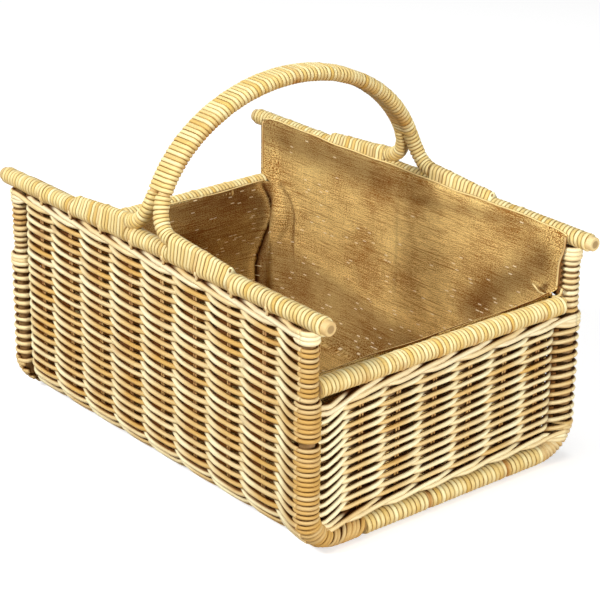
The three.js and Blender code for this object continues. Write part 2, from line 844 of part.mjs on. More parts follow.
const sideShare = (column) => column.share ?? (column.side ? 1 : 0);

// How far the corner fold at the back left pushes the cloth inwards
function foldAt(x, y, z) {
	const corner = [-liningHalf.x + liningCorner, liningHalf.y - liningCorner];
	const away = Math.hypot(x - corner[0], y - corner[1]) - liningCorner;
	const across = Math.max(x - corner[0], 0) + Math.max(corner[1] - y, 0) + Math.max(away, 0);
	const height = THREE.MathUtils.clamp((endRailHeight - z) / endRailHeight, 0, 1);
	const near = Math.max(1 - across / foldWidth, 0);
	return foldDepth * near * near * (3 - 2 * near) * Math.sin(Math.PI * Math.sqrt(height));
}

function liningPoint(column, row, inset) {
	const toSide = sideShare(column);
	const bend = THREE.MathUtils.lerp(liningEndBend, liningSideBend, toSide) - inset;
	const top = toSide > liningStep ? liningSideTop : liningEndTop;
	const floor = liningFloor + inset;
	let [turn, z] = [0, 0];
	if (row.wall !== undefined) {
		z = THREE.MathUtils.lerp(top, floor + bend, row.wall);
	} else {
		turn = row.bend * (Math.PI / 2);
		z = floor + bend * (1 - Math.sin(turn));
	}
	const drawn = 1 - Math.cos(turn);
	const [x, y] = liningPlan(
		column,
		inset + (liningEndBend - inset) * drawn,
		inset + (liningSideBend - inset) * drawn,
	);
	const back = liningPlan(column, liningEndBend * drawn, liningSideBend * drawn);
	const fold = foldAt(...back, z) / Math.hypot(x, y);
	return vector(x * (1 - fold), y * (1 - fold), z);
}

function makeLining() {
	const columns = liningColumns();
	const rows = [
		...liningRows.wall.map((wall) => ({ wall })),
		...liningRows.bend.map((bend) => ({ bend })),
	];
	const count = columns.length;
	const points = [];
	for (const inset of [0, liningThickness]) {
		for (const row of rows) points.push(...columns.map((column) => liningPoint(column, row, inset)));
		points.push(vector(0, 0, liningFloor + inset));
	}
	const faces = [];
	const innerStart = rows.length * count + 1;
	for (let j = 0; j < count; j++) {
		const k = (j + 1) % count;
		for (let i = 0; i < rows.length - 1; i++) {
			addQuad(faces, i * count + j, (i + 1) * count + j, (i + 1) * count + k, i * count + k);
			const [here, below] = [innerStart + i * count, innerStart + (i + 1) * count];
			addQuad(faces, below + k, below + j, here + j, here + k);
		}
		const last = (rows.length - 1) * count;
		faces.push([last + j, innerStart - 1, last + k]);
		faces.push([innerStart + last + k, innerStart + innerStart - 1, innerStart + last + j]);
		addQuad(faces, j, k, innerStart + k, innerStart + j);
	}
	add('lining', 'cloth', closedBody(points, faces));
}

makeEndFrames();
makeEndRails();
makeHandle();
makeRails();
makeSideStakes();
makeSideWeave();
makeEndWeave();
makeLining();

export default basket;
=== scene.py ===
"""Rattan storage basket: weavers, cane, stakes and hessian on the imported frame."""

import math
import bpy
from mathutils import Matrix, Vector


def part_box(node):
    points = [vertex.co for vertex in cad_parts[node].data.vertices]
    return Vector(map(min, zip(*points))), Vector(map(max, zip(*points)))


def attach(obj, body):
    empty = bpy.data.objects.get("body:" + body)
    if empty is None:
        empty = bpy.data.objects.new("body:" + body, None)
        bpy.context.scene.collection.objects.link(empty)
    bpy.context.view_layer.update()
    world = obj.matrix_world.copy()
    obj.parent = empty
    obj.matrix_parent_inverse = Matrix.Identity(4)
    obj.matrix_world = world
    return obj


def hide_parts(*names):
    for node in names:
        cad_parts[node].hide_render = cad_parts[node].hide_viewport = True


bl_info = {
    "name": "Rattan Storage Basket",
    "version": (1, 0, 0),
    "blender": (4, 5, 0),
    "location": "3D Viewport > Sidebar > Basket",
    "description": "Weaves the basket's walls, binds its rails and handle and lines it with hessian",
    "category": "Object",
}

import bmesh
import bpy
import numpy as np
from bpy.props import FloatProperty, FloatVectorProperty, PointerProperty
from bpy.types import Operator, Panel, PropertyGroup
from mathutils import Matrix, Vector

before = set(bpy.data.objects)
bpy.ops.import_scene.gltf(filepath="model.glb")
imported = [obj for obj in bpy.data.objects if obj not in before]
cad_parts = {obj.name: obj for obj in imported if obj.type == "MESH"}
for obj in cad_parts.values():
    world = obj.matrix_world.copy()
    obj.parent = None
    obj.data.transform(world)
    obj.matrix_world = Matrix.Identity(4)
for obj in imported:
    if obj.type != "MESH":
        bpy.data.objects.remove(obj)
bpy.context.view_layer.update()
MM = 0.001


def middle(node):
    """The middle of a node's box, in millimetres."""
    low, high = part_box(node)
    return (low + high) / 2 / MM


# Places and sizes, in millimetres. Those of the frame are read from it
ENDS = (("right", 1), ("left", -1))
SIDES = (("front", -1), ("back", 1))
RAIL_Z = middle("front_rail_pole").z
RAIL_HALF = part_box("front_rail_pole")[1].x / MM
END_RAIL_Z = middle("right_end_rail_pole").z
POST_X = middle("right_end_frame_pole").x
POST_Y = -middle("front_rail_pole").y
SIDE_STAKES = np.array([middle(f"side_stake_{i}").x for i in range(1, 9)])
END_STAKES = np.array([middle(f"right_end_stake_{i}").y for i in range(1, 7)])
SIDE_PITCH = SIDE_STAKES[1] - SIDE_STAKES[0]
END_PITCH = END_STAKES[1] - END_STAKES[0]

# The end frame's pole: its bend, its height at the base and its radius
ROD_BEND, ROD_FLOOR, ROD_RADIUS = 40.0, 12.7, 8.0
# The middle of the weave: its bend, its height at the base, and the tops of the long and end walls
WEAVE_BEND, WEAVE_FLOOR = 42.0, 8.3
WALL_TOP, END_TOP = RAIL_Z - 11.0, END_RAIL_Z - 11.2
# Lengths down the U of a long wall: to the bend, round it, half the base, half the U, and to the posts' step
TOP_TO_BEND = WALL_TOP - (WEAVE_FLOOR + WEAVE_BEND)
BEND_LENGTH = WEAVE_BEND * math.pi / 2
FLOOR_HALF = POST_Y - WEAVE_BEND
U_HALF = TOP_TO_BEND + BEND_LENGTH + FLOOR_HALF
STEP_DOWN = WALL_TOP - (END_RAIL_Z - 12)

# The band of long strokes, the rows of weavers, and the points along a row
WALE_BELOW = 14.2
WALL_ROWS, BEND_ROWS, BASE_ROWS, END_ROWS = 18, 6, 27, 12
LONG_POINTS, BASE_POINTS, END_POINTS = 150, 140, 120
# The post where a long wall's weavers turn, and the one where they start
TURN_POST = {"front": "right", "back": "left"}
START_POST = {"front": "left", "back": "right"}
# How far they dip on the way, how far the turns go on under the base, and the radius of an end wall's turns
DIP, FLOOR_FAN, END_TURN = 4.5, 24.0, 12.2

# The handle: its arch, its feet, the tails along the rails, its rods and the room under its cane
HANDLE_RISE, SPRINGING, CROTCH = 158.0, RAIL_Z + 7, math.radians(20)
FOOT_LEFT, FOOT_RIGHT, TAIL = -45.0, 40.0, 105.0
HANDLE_ROD, TAIL_TIP, HALF_APART, TAIL_ROOM = 7.0, 2.8, 8.2, 0.7

# The lining: half its plan, its floor, the radius of its corners, its hems and the edge of its wings
CLOTH_X, CLOTH_Y, CLOTH_FLOOR, CLOTH_CORNER = 266.2, 190.4, 17.8, 18.0
HALF_X, HALF_Y = CLOTH_X - CLOTH_CORNER, CLOTH_Y - CLOTH_CORNER
HEM_Z, END_HEM = 290.0, {1: 209.5, -1: 206.0}
WING_Z, WING_X = [203, 209, 220, 233, 256, 284, 290], [262, 270, 280.7, 281.3, 282.5, 284.3, 282.7]
END_BEND, LONG_BEND = 20.0, 33.0

chance = np.random.default_rng(11)


def smooth(x, low, high):
    """0 below low, 1 above high, and an even rise between them."""
    t = np.clip((x - low) / (high - low), 0, 1)
    return t * t * (3 - 2 * t)


def hump(x, width):
    """1 at 0, and falling off softly on both sides."""
    return np.exp(-((x / width) ** 2))


def mix(a, b, share):
    return a + (b - a) * share


def nearest(distance, places):
    return np.abs(distance[:, None] - places).min(axis=1)


def since(distance, places, slack):
    """How far each distance lies past the last of the places."""
    past = distance[:, None] - places
    return np.where(past > -slack, past, 99).min(axis=1)


# Meshes and pieces


def grid(columns, rows):
    """A flat grid, and how far across and up each of its points lies, from 0 to 1."""
    bm = bmesh.new()
    bmesh.ops.create_grid(bm, x_segments=columns, y_segments=rows, size=1)
    bm.verts.ensure_lookup_table()
    return bm, (np.array([v.co[:2] for v in bm.verts]) + 1) / 2


def lay(bm, points, mark, tones):
    """Move a grid's points to their places and store a tone with each."""
    layer = bm.verts.layers.float.new(mark)
    for vert, point, tone in zip(bm.verts, points * MM, tones):
        vert[layer] = tone
        vert.co = point


def mesh_of(bm, name):
    mesh = bpy.data.meshes.new(name)
    bm.to_mesh(mesh)
    bm.free()
    return mesh


def finish_piece(name, mesh, material, nodes):
    """Put a mesh into the scene, with its material and the nodes that it stands for."""
    piece = bpy.data.objects.new(name, mesh)
    bpy.context.scene.collection.objects.link(piece)
    mesh.materials.clear()
    mesh.materials.append(material)
    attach(piece, "root")
    if nodes:
        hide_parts(*nodes)
    return piece


class Route:
    """A line with a frame at each point that doesn't twist."""

    def __init__(self, points, normal):
        self.points = np.asarray(points, float)
        steps = np.diff(self.points, axis=0)
        lengths = np.linalg.norm(steps, axis=1)
        self.along = np.concatenate([[0], np.cumsum(lengths)])
        self.length = self.along[-1]
        directions = steps / lengths[:, None]
        tangents = np.vstack([directions[:1], directions[:-1] + directions[1:], directions[-1:]])
        tangents /= np.linalg.norm(tangents, axis=1)[:, None]
        normals = []
        normal = np.asarray(normal, float)
        for tangent in tangents:
            normal = normal - tangent * (normal @ tangent)
            normal = normal / np.linalg.norm(normal)
            normals.append(normal)
        self.normals = np.array(normals)
        self.sides = np.cross(tangents, self.normals)

    def place(self, distance, u, v):
        """Points at distances along the route, moved by u along its normal and v to its side."""

        def read(values):
            return np.stack([np.interp(distance, self.along, values[:, k]) for k in range(3)], axis=-1)

        return read(self.points) + read(self.normals) * u[..., None] + read(self.sides) * v[..., None]


class Strands:
    """Round rods and weavers, each a row of points with a radius, that make one piece together."""

    def __init__(self):
        self.rows = []

    def add(self, points, radius, tint=None, outward=(0, 0, 0), hidden=0.0):
        """One strand. Outward is the way its lit side faces, and its other sides get painted shade; hidden
        says how much painted shade it gets where it lies in the shade.
        """
        points = np.asarray(points, float)
        count = len(points)
        steps = np.linalg.norm(np.diff(points, axis=0), axis=1)
        along = chance.random() * 4000 + np.concatenate([[0], np.cumsum(steps)])
        tint = chance.random() if tint is None else tint
        values = [np.broadcast_to(np.asarray(v, float), count) for v in (radius, tint, along, hidden)]
        self.rows.append((points, *values, np.broadcast_to(np.asarray(outward, float), (count, 3))))

    def make(self, name, finish, *nodes, sides=8, slot=None):
        """One mesh of all the strands, from a bevelled curve, with their places and tones as attributes."""
        curve = bpy.data.curves.new(name, "CURVE")
        curve.dimensions = "3D"
        curve.bevel_depth = 1
        curve.bevel_resolution = (sides - 4) // 2
        curve.use_fill_caps = True
        for points, radius, *_ in self.rows:
            spline = curve.splines.new("POLY")
            spline.points.add(len(points) - 1)
            spline.points.foreach_set("co", np.column_stack([points * MM, np.ones(len(points))]).ravel())
            spline.points.foreach_set("radius", np.ascontiguousarray(radius * MM))
        holder = bpy.data.objects.new(name + "_curve", curve)
        bpy.context.scene.collection.objects.link(holder)
        depsgraph = bpy.context.evaluated_depsgraph_get()
        mesh = bpy.data.meshes.new_from_object(holder.evaluated_get(depsgraph))
        bpy.data.objects.remove(holder)
        bpy.data.curves.remove(curve)
        # The mesh holds the caps, last strand first, and then each strand's rings in order
        caps = [[values[[-1, 0]] for values in row] for row in reversed(self.rows)]
        columns = [np.repeat(np.concatenate(column), sides, axis=0) for column in zip(*caps, *self.rows)]
        centre, radius, tint, along, hidden, outward = columns
        if len(tint) != len(mesh.vertices):
            raise RuntimeError(f"{name}: the strands have {len(mesh.vertices)} points, not {len(tint)}")
        co = np.empty(len(tint) * 3)
        mesh.vertices.foreach_get("co", co)
        # Painted shade: the sides of a strand that turn away from its outward way are darkened through the
        # shade attribute.
        away = (co.reshape(-1, 3) / MM - centre) / np.maximum(radius, 0.01)[:, None]
        facing = (away * outward).sum(axis=1)
        edge = np.where(np.abs(outward).sum(axis=1) > 0, smooth(0.75 - facing, 0.1, 0.95), 0)
        turn = np.tile(np.arange(sides), len(tint) // sides) * 2 * math.pi / sides
        strand = np.stack([along, radius * np.cos(turn), radius * np.sin(turn)], axis=1) * MM
        mesh.attributes.new("strand", "FLOAT_VECTOR", "POINT").data.foreach_set("vector", strand.ravel())
        for mark, values in (("tint", tint), ("shade", edge), ("hidden", np.clip(hidden, 0, 1))):
            mesh.attributes.new(mark, "FLOAT", "POINT").data.foreach_set("value", values * 1.0)
        bm = bmesh.new()
        bm.from_mesh(mesh)
        bmesh.ops.remove_doubles(bm, verts=bm.verts, dist=1e-7)
        for face in bm.faces:
            face.smooth = len(face.verts) == 4
        bm.to_mesh(mesh)
        bm.free()
        return finish_piece(name, mesh, rattan(finish), nodes)


def make_rod(name, node, points, radius, sides=16, tint=None, hidden=0.0):
    strands = Strands()
    strands.add(points, radius, tint, hidden=hidden)
    strands.make(name, "peeled_pole", node, sides=sides)


# One strip of cane in section: places across it and heights
ACROSS = np.array([(0.0, 0.0), (0.07, 0.5), (0.22, 0.88), (0.5, 1.0), (0.78, 0.88), (0.93, 0.5)])


def outline(circles, distance, angle, cover):
    """The outside of rods that lie side by side, given as (u, v, radius), as seen from each angle."""
    cos, sin = np.cos(angle), np.sin(angle)
    best = best_u = best_v = np.full(len(angle), -np.inf)
    for circle in circles:
        u, v, r = circle(distance) if callable(circle) else circle
        reach = u * cos + v * sin + r
        more = reach > best
        best = np.where(more, reach, best)
        best_u = np.where(more, u + (r + cover) * cos, best_u)
        best_v = np.where(more, v + (r + cover) * sin, best_v)
    return best_u, best_v


def wind(
    name, node, route, start, end, circles, turn, cover=2.4, groove=1.9, lift=None, stain_and_shade=None, sides=28
):
    """Turn after turn of cane along a route, as one closed surface: a grid laid along the helix."""
    rows = (math.ceil((end - start) / turn) + 2) * len(ACROSS)
    bm, share = grid(sides, rows)
    around = share[:, 0]
    row = np.rint(share[:, 1] * rows).astype(int)
    places, heights = ACROSS[row % len(ACROSS)].T
    turns = row // len(ACROSS) + places
    distance = start + (turns + around - 1) * turn
    held = (distance <= start) | (distance >= end)
    distance = np.clip(distance, start, end)
    length = row // len(ACROSS) + around
    ribbon = np.clip(chance.normal(0, 0.16, int(length.max()) + 3), -0.4, 0.25)
    raised = np.interp(length, np.arange(len(ribbon)), ribbon)
    angle = around * 2 * math.pi
    if lift is not None:
        raised = raised + lift(distance, angle)
    thickness = cover - groove * (1 - np.where(held, 0, heights)) + np.where(held, 0, raised)
    points = route.place(distance, *outline(circles, distance, angle, thickness))
    uv = bm.loops.layers.uv.new("UVMap")
    for face in bm.faces:
        face.smooth = True
        for loop in face.loops:
            i = loop.vert.index
            loop[uv].uv = (turns[i], around[i])
    lay(bm, points, "stain_and_shade", np.zeros(len(row)) if stain_and_shade is None else np.clip(stain_and_shade(distance, angle), 0, 1))
    bmesh.ops.remove_doubles(bm, verts=bm.verts, dist=2e-6)
    bmesh.ops.holes_fill(bm, edges=[e for e in bm.edges if e.is_boundary], sides=0)
    bmesh.ops.recalc_face_normals(bm, faces=bm.faces)
    finish_piece(name, mesh_of(bm, name), rattan("split_cane"), [node])


def darker_before_joins(joins, amount, fade, top):
    """Darker turns of cane ahead of each join, with painted shade that makes them darkest on the underside.
    """

    def stain_and_shade(distance, angle):
        under = np.clip(0.75 - np.cos(angle), 0, 1)
        return amount * np.exp(-since(-distance, -joins, 1.0) / fade) * (top + (1 - top) * under)

    return stain_and_shade


# Shapes of the frame and of the weave


def u_path(t):
    """Down the front wall, round the lower edge, along the base and up the back: y, z and the outward way."""
    t = np.asarray(t, float)
    back = t > U_HALF
    s = np.where(back, 2 * U_HALF - t, t)
    angle = np.clip((s - TOP_TO_BEND) / WEAVE_BEND, 0, math.pi / 2)
    y = -FLOOR_HALF - WEAVE_BEND * np.cos(angle) + np.maximum(s - TOP_TO_BEND - BEND_LENGTH, 0)
    z = WALL_TOP - np.minimum(s, TOP_TO_BEND) - WEAVE_BEND * np.sin(angle)
    out_y, out_z = -np.cos(angle), -np.sin(angle)
    return np.where(back, -y, y), z, np.where(back, -out_y, out_y), out_z


def wall_point(side, across, t, out):
    """A point of a long wall's weave: across to the right from outside, t down the U, out from its middle."""
    x, t = (across, t) if side == "front" else (-across, 2 * U_HALF - t)
    y, z, out_y, out_z = u_path(t)
    belly = np.sin(np.clip((WALL_TOP - z) / WALL_TOP, 0, 1) * math.pi)
    swell = 2.2 * belly * np.clip(1 - (x / POST_X) ** 4, 0, 1)
    out = out + swell * np.abs(out_y)
    return np.stack(np.broadcast_arrays(x, y + out * out_y, z + out * out_z), axis=-1)


def out_of(t, side):
    """The way out of the weave at a place down the U."""
    _, _, out_y, out_z = u_path(t if side == "front" else 2 * U_HALF - t)
    return np.array([0.0, float(out_y), float(out_z)])


def post_offset(t):
    """How far the end frame's rod lies outside the middle of the weave: below it, round the base."""
    return (ROD_FLOOR - WEAVE_FLOOR) * u_path(t)[3]


def post_radius(t):
    """Radius of a weaver's turn round a post: thin above the end rail, thick below, thin at the base."""
    return np.where(t < STEP_DOWN, 9.2, mix(12.5, 9.4, np.clip(-u_path(t)[3], 0, 1) ** 2))


def ring(side, end, t, start, sweep, drop, radius=None, steps=14):
    """Part of a turn round a post, and its way out. Turns count from the outer face, over the end, inside."""
    share = np.linspace(0, 1, steps)
    turn = (start + sweep * share) * 2 * math.pi
    here = t + drop * share
    r = post_radius(t) if radius is None else radius
    sign = 1 if end == "right" else -1
    if side == "back":
        here = 2 * U_HALF - here
    y, z, out_y, out_z = u_path(here)
    across, out = np.sin(turn), np.cos(turn)
    far = (ROD_FLOOR - WEAVE_FLOOR) * out_z + r * out
    points = np.stack([sign * (POST_X + r * across), y + far * out_y, z + far * out_z], axis=-1)
    return points, np.stack([sign * across, out * out_y, out * out_z], axis=-1)


def end_point(sign, across, z, out):
    """A point of an end wall's weave. Across runs to the right as seen from outside that end."""
    return np.stack(np.broadcast_arrays(sign * (POST_X + out), sign * across, z), axis=-1)


def rod_half(z):
    """Half the width between the two posts' axes at a height."""
    low = max(ROD_FLOOR + ROD_BEND - z, 0)
    return POST_Y - ROD_BEND + math.sqrt(max(ROD_BEND**2 - low**2, 0))


def down_to(z):
    """How far down the U a height lies."""
    under = WEAVE_FLOOR + WEAVE_BEND - z
    return WALL_TOP - z if under <= 0 else TOP_TO_BEND + WEAVE_BEND * math.asin(min(under / WEAVE_BEND, 1))


def rod_route():
    """The line of an end frame: down one post, along the base and up the other post."""
    angle = np.linspace(0, math.pi / 2, 16)
    y = POST_Y - ROD_BEND * (1 - np.cos(angle))
    z = ROD_FLOOR + ROD_BEND * (1 - np.sin(angle))
    half = [(0, -POST_Y, WALL_TOP - 0.3), *zip(np.zeros(16), -y, z)]
    other = [(0, -py, pz) for _, py, pz in reversed(half)]
    return np.array(half + other)


# Weaving

# The height of a weaver over one stake in front and one behind, from halfway before the first
RIDE_AT = [-0.6, -0.5, -0.4, -0.3, -0.15, 0.0, 0.2, 0.35, 0.5, 0.6, 0.7, 0.85, 1.0, 1.15, 1.3, 1.4]
RIDE = [-1.1, -1.05, -0.85, -0.5, -0.15, 0.05, 0.2, 0.4, 0.65, 0.75, 0.65, 0.2, -0.3, -0.8, -1.1, -1.1]
# In the long walls a weaver stays level and only its tip turns up
LONG_RIDE = [-0.3, -0.35, -0.35, -0.3, -0.25, -0.15, 0.05, 0.45, 1.15, 1.45, 1.35, 0.8, 0.3, 0.0, -0.2, -0.3]


def ride(phase, shape=RIDE):
    """A weaver comes out low, climbs to the stake and stays high until it goes behind."""
    fine = np.linspace(-0.6, 1.4, 200, endpoint=False)
    heights = np.interp(fine, RIDE_AT, shape)
    soft = sum(np.roll(heights, k) for k in range(-6, 7)) / 13
    return np.interp((phase + 0.6) % 2 - 0.6, fine, soft, period=2)


def weave_out(phase):
    """Out in front of the even stakes and behind the odd ones. Tips and starts both show where they cross."""
    return np.tanh(1.6 * (np.cos(math.pi * (phase - 0.03)) + 0.22)) / math.tanh(1.95)


def drift(count, amount):
    """A slow random wander along a row, so that no two rows lie quite alike."""
    return np.interp(np.linspace(0, 6, count), np.arange(7), chance.normal(0, amount, 7))


def side_count(side, across):
    """Where a place on a long wall lies, counted in stakes from the left as seen from outside."""
    first = SIDE_STAKES[0] if side == "front" else -SIDE_STAKES[-1]
    return (across - first) / SIDE_PITCH


def end_count(across):
    return (across - END_STAKES[0]) / END_PITCH


def stroke_radius(radius, phase):
    """A weaver looks flattened and wide where its tip shows, and narrow over the stake."""
    return radius * (1 + 0.14 * hump((phase + 0.5) % 2 - 0.82, 0.25))


def tint_with_painted_light(tint, phase):
    """Painted light: its tip is painted paler as a highlight, and the part behind the wall riper as shade."""
    return tint + 0.3 - 0.9 * hump((phase + 0.5) % 2 - 0.94, 0.3)


# Painted shade for a weaver where it lies behind the stakes.
def shade_behind(out):
    return 0.97 * smooth(-out, -0.6, 2.6)


def wale_stroke(u, k, height):
    """One of a band's three weavers, each over two stakes and behind one: how far out and up it lies."""
    phase = 2 * math.pi * (u / 3 + k / 3 + 1 / 6)
    out = 5.0 * np.clip(1.5 * np.cos(phase) + 0.5, -1, 1) + 0.6
    return out, height * np.sin(phase) + drift(len(u), 0.3)


def long_pair(side, t, pieces, one_turn=False, lean=1.2):
    """One row of a long wall: two weavers that cross between the stakes and pass each on opposite sides."""
    across = np.linspace(-POST_X + 8, POST_X, LONG_POINTS)
    u = side_count(side, across)
    last = round(float(side_count(side, POST_X)))
    for front in (1, -1):
        radius = sizes("weaver") * (1 + chance.normal(0, 0.05))
        tint = chance.random() * 0.9
        phase = -(u + (0 if front > 0 else 1))
        out = sizes("in_and_out") * weave_out(phase)
        up = sizes("up_and_down") * ride(phase, LONG_RIDE) + drift(LONG_POINTS, 0.4)
        # Painted shade where it lies behind the stakes.
        hidden = shade_behind(out)
        # Behind the rings of the left post, where it is painted in shade, and down round the right post, with
        # a little painted shade.
        left = smooth(across, -POST_X + 26, -POST_X + 9)
        out = mix(out, -4.5, left)
        hidden = np.maximum(hidden, 0.97 * smooth(left, 0.2, 0.8))
        facing = front * (1 if last % 2 == 0 else -1)
        near = smooth(across, POST_X - 42, POST_X - 4)
        out = mix(out, facing * float(post_radius(t)) + float(post_offset(t)), near)
        up = mix(up, facing * sizes("row") / 4 - DIP, near)
        hidden = np.maximum(hidden, 0.16 * near)
        width = mix(stroke_radius(radius, phase), radius, near)
        tints_and_painted_light = mix(tint_with_painted_light(tint, phase), 0.55 + 0.4 * tint, near)
        pieces["wall"].add(wall_point(side, across, t - up, out), width, tints_and_painted_light, out_of(t, side), hidden)
        if one_turn and facing < 0:
            continue
        start, sweep, drop = (0.0, 0.62, lean) if facing > 0 else (0.5, -0.6, -lean)
        drop += chance.normal(0, 0.35)
        step = t + DIP - facing * sizes("row") / 4 + (0 if facing > 0 else 0.82 * lean)
        points, away = ring(side, TURN_POST[side], step, start, sweep, drop, steps=18)
        # Its turn round the post is darkened a little all over with painted shade.
        pieces["turn"].add(points, radius * (0.87 + chance.normal(0, 0.03)), 0.75 + 0.7 * tint, away, 0.2)


def plain_pair(t, pieces):
    """One row of the base, between the two base rods."""
    across = np.linspace(-POST_X + 17, POST_X - 17, BASE_POINTS)
    u = side_count("front", across)
    for front in (0, 1):
        out = sizes("in_and_out") * weave_out(-u - front)
        up = sizes("up_and_down") * ride(-u - front) + drift(BASE_POINTS, 0.35)
        radius = sizes("weaver") * (1 + chance.normal(0, 0.04))
        pieces.add(wall_point("front", across, t - up, out), radius, None, (0, 0, -1), shade_behind(out))


def long_wale(side, t, pieces):
    """The band of long strokes of a long wall. Its weavers turn round both posts."""
    across = np.linspace(-POST_X, POST_X, LONG_POINTS)
    for k in range(3):
        out, up = wale_stroke(side_count(side, across), k, -3.6)
        tint = chance.random()
        r = sizes("wale") * (1 + chance.normal(0, 0.04))
        for near in (smooth(across, -POST_X + 32, -POST_X + 4), smooth(across, POST_X - 32, POST_X - 4)):
            out = mix(out, 9.7, near)
            up = mix(up, (1 - k) * 5.2, near)
        pieces["wale"].add(wall_point(side, across, t - up, out), r, tint, out_of(t, side), shade_behind(out))
        for name, end in (("turn", TURN_POST[side]), ("start", START_POST[side])):
            points, away = ring(side, end, t - (1 - k) * 5.2, 0.0, 0.62, 1.0, 9.7)
            pieces[name].add(points, r, tint * 0.3, away)


def end_pair(end, z, wall, wraps):
    """One row of an end wall. Its weavers start behind the left post's rings, one turns round the right."""
    sign, side = (1, "back") if end == "right" else (-1, "front")
    half = rod_half(z)
    across = np.linspace(-half + 10, half, END_POINTS)
    u = end_count(across)
    last = round(float(end_count(POST_Y)))
    for front in (1, -1):
        radius = (sizes("weaver") - 0.1) * (1 + chance.normal(0, 0.05))
        tint = chance.random() * 0.75
        phase = u + (0 if front > 0 else 1)
        out = sizes("in_and_out") * weave_out(phase)
        up = sizes("up_and_down") * ride(phase) + drift(END_POINTS, 0.4)
        # Painted shade where it lies behind the stakes.
        hidden = 0.86 * shade_behind(out)
        # The first stroke comes steeply up from behind the left post
        first = np.clip((48 - across - half) / 36, 0, 1) * (1 if out[4] > 0 else 0.25)
        up = up - min(13.0, z - 27) * first
        out = mix(-2.5, out, smooth(across + half, 11, 24))
        facing = front * (1 if last % 2 == 0 else -1)
        near = smooth(half - across, 38, 4)
        out = mix(out, facing * END_TURN, near)
        points = end_point(sign, across, z + mix(up, 0, near), out)
        width = mix(stroke_radius(radius, phase), radius, near)
        tints_and_painted_light = tint_with_painted_light(tint, phase) - 0.8 * smooth(58 - across - half, 0, 20)
        if facing > 0:
            rows = slice(None)
        else:
            rows = slice(None, -6)
            # Painted shade where it nears the post and stops.
            hidden = np.maximum(hidden, 0.97 * smooth(near, 0.05, 0.4))
        wall.add(points[rows], width[rows], tints_and_painted_light[rows], (sign, 0, 0), hidden[rows])
        if facing > 0:
            points, away = ring(side, end, down_to(z), 0.25, -0.55, 1.0 + chance.normal(0, 0.3), END_TURN)
            wraps.add(points, radius, tint, away)


def end_wale(end, z, pieces, radius, height, wraps=None, dip=0.0):
    """The band of long strokes of an end wall. It starts lower by the left post by the dip."""
    sign, side = (1, "back") if end == "right" else (-1, "front")
    half = rod_half(z)
    across = np.linspace(-half + 10, half, END_POINTS)
    near = smooth(half - across, 34, 4)
    for k in range(3):
        out, up = wale_stroke(end_count(across), k, height)
        out = mix(mix(-1.5, out, smooth(across + half, 11, 26)), END_TURN, near)
        up = mix(up - dip * smooth(across + half, 88, 20), (1 - k) * 4.6, near)
        r = radius * (1 + chance.normal(0, 0.04))
        tint = chance.random() * 0.6
        pieces.add(end_point(sign, across, z + up, out), r, tint, (sign, 0, 0), shade_behind(out))
        if wraps is not None:
            points, away = ring(side, end, down_to(z) - (1 - k) * 4.6, 0.25, -0.5, 0.5, END_TURN)
            wraps.add(points, r, tint, away)


# Colours and materials

WHITE = (1, 1, 1, 1)

# Each finish of the rattan: its slot, its pale and ripe colours, and how strong its stains and its gloss are
RATTAN = {
    "buff_weavers": ("weavers", "weaver_pale", "weaver_straw", 0.6, 0.03),
    "cream_wale": ("weavers", "wale_pale", "wale_straw", 0.4, 0.03),
    "split_cane": ("cane_binding", "cane_pale", "cane_straw", 0.5, 0.08),
    "peeled_pole": ("rattan_pole", "pole_pale", "pole_straw", 0.3, 0.0),
    "brown_stakes": ("stakes", "stake_light", "stake_dark", 0.3, 0.0),
    "rolled_hessian": ("hessian", "hem_cream", "hessian_dark", 0.4, 0.0),
    "hem_cord": ("hessian", "hem_cream", "hessian_light", 0.2, 0.0),
}


def colour_of(name):
    colour = getattr(bpy.context.scene.basket_colours, name)
    return (*(c / 12.92 if c <= 0.04045 else ((c + 0.055) / 1.055) ** 2.4 for c in colour), 1)


